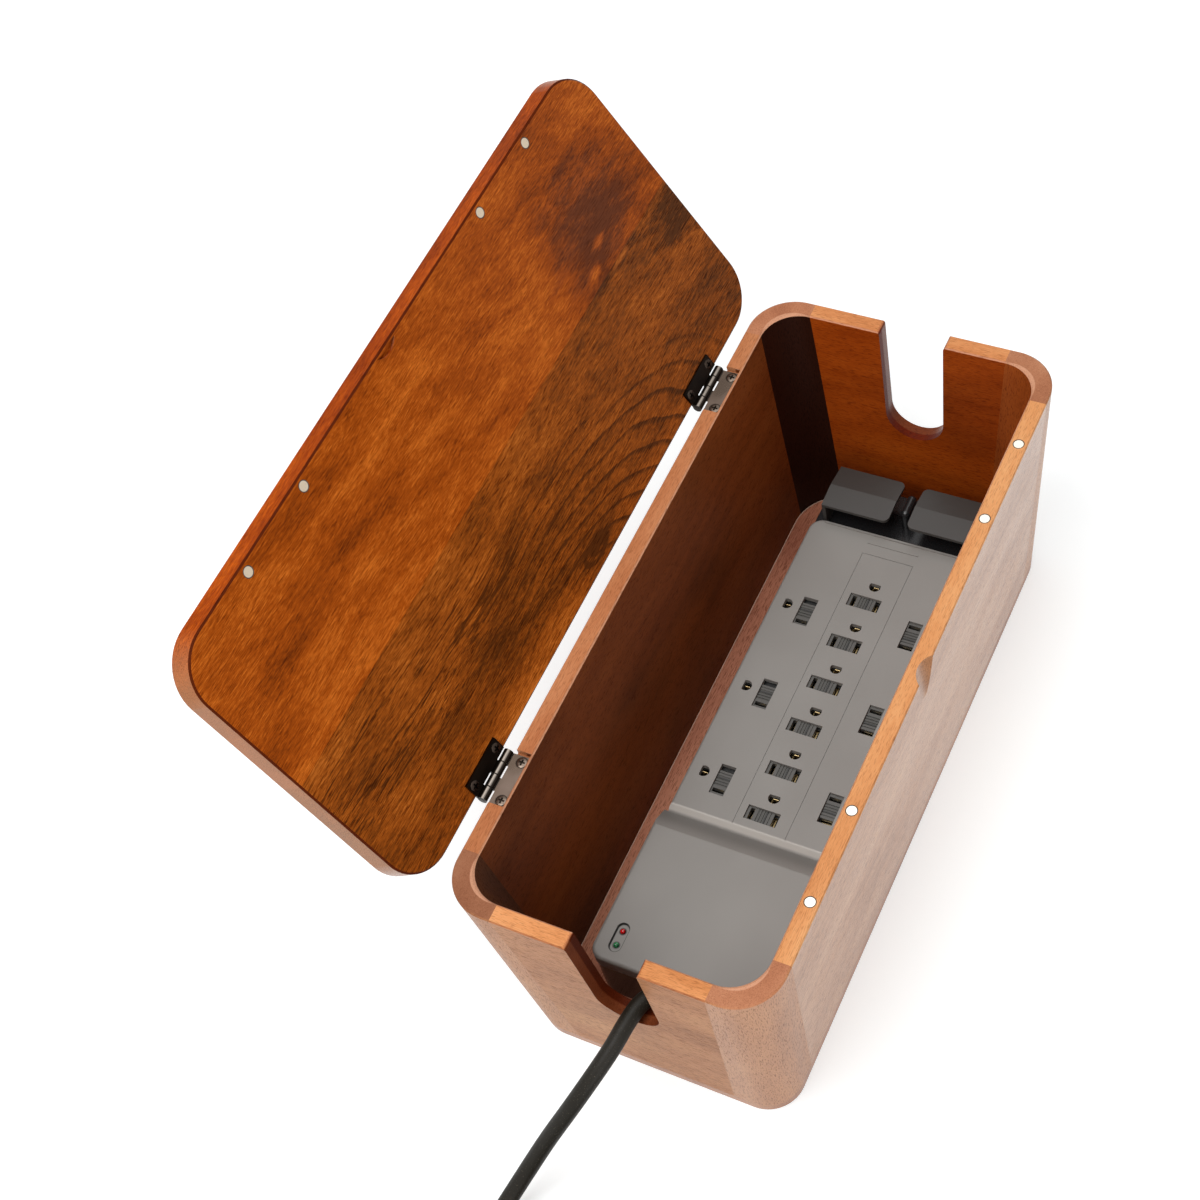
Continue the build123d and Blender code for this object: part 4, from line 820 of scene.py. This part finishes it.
# The rolled lip of each ground contact, just under the cover: a thin brass tongue that a
# ground pin slides down past, bent over at its top.
lip_length, lip_thickness, lip_low, lip_top = 0.0029, 0.0003, 0.0446, 0.0487
lip_bent_over, lip_bent_share, lip_edge = 0.0004, 0.45, 0.0001
lip_from_hole = 0.0006
outlet_spacing, centre_y, left_y, right_y = 0.0286, -0.01, 0.0324, -0.0524
hole_xs = [0.0994 - outlet_spacing * number for number in range(6)]
side_hole_xs = [0.0733 - 2 * outlet_spacing * number for number in range(3)]
holes = ([(x, centre_y) for x in hole_xs] + [(x, left_y) for x in side_hole_xs]
         + [(x, right_y) for x in side_hole_xs])
bpy.ops.object.select_all(action="DESELECT")
bpy.ops.mesh.primitive_cube_add(size=1)
lip = bpy.context.object
lip.scale = (lip_thickness, lip_length, lip_top - lip_low)
bpy.ops.object.transform_apply(location=False, rotation=False, scale=True)
bpy.ops.object.mode_set(mode="EDIT")
bpy.ops.mesh.select_all(action="SELECT")
bpy.ops.mesh.subdivide(number_cuts=4)
bpy.ops.mesh.select_all(action="DESELECT")
bpy.ops.object.mode_set(mode="OBJECT")
for corner in lip.data.vertices:
    corner.select = corner.co.z > (lip_top - lip_low) * lip_bent_share
bpy.ops.object.mode_set(mode="EDIT")
bpy.ops.transform.translate(value=(lip_bent_over, 0, 0))
bpy.ops.object.mode_set(mode="OBJECT")
rounded = lip.modifiers.new("rounded", "BEVEL")
rounded.width, rounded.segments, rounded.limit_method = lip_edge, 2, "ANGLE"
bpy.ops.object.modifier_apply(modifier=rounded.name)
for number, (x, y) in enumerate(holes, 1):
    tongue = bpy.data.objects.new(f"ground_lip_{number:02d}", lip.data.copy())
    bpy.context.collection.objects.link(tongue)
    tongue.data.transform(Matrix.Translation((x, y - lip_from_hole, (lip_low + lip_top) / 2)))
    tongue.data.materials.append(contact_brass)
    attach(tongue, "box")
bpy.data.objects.remove(lip)

# ---- The two indicator lamps: small tinted domes, red and green, standing in a sunken
# stadium beside the label place, each with a brighter heart of its colour.

for name, node, edge, heart in (
        ("lamp_red", "red_lamp", (0.22, 0.002, 0.002, 1), (0.8, 0.008, 0.01, 1)),
        ("lamp_green", "green_lamp", (0.006, 0.12, 0.04, 1), (0.05, 0.42, 0.15, 1))):
    lens = start(name)
    place = place_on_piece()
    swirl = cloud(place, (700, 700, 700), 2, 0.5)
    finished({"Base Color": blended(between(swirl, 0.35, 0.65), edge, heart),
              "Roughness": swirl * 0.1 + 0.06, "Coat Weight": 0.6, "Coat Roughness": 0.05})
    dress(lens, node)

# ---- Inside the strip: the surge board with its varistors and capacitor, and the screws
# that hold the two halves of the housing together.

for name, node, dark, light, metal, rough in (
        ("board_green", "surge_board", (0.01, 0.09, 0.035, 1), (0.03, 0.2, 0.08, 1), 0.0, 0.3),
        ("varistor_blue", "varistors", (0.03, 0.09, 0.3, 1), (0.06, 0.16, 0.46, 1), 0.0, 0.25),
        ("capacitor_yellow", "noise_capacitor", (0.6, 0.42, 0.05, 1), (0.78, 0.58, 0.1, 1),
         0.0, 0.3),
        ("screw_zinc", "housing_screws", (0.5, 0.5, 0.5, 1), (0.68, 0.67, 0.64, 1), 1.0, 0.25)):
    made = start(name)
    place = place_on_piece()
    mould = cloud(place, (900, 900, 900), 3, 0.6)
    finished({"Base Color": blended(between(mould, 0.35, 0.65), dark, light),
              "Metallic": metal, "Roughness": mould * 0.2 + rough}, mould, 0.00006, 0.3)
    dress(made, node)
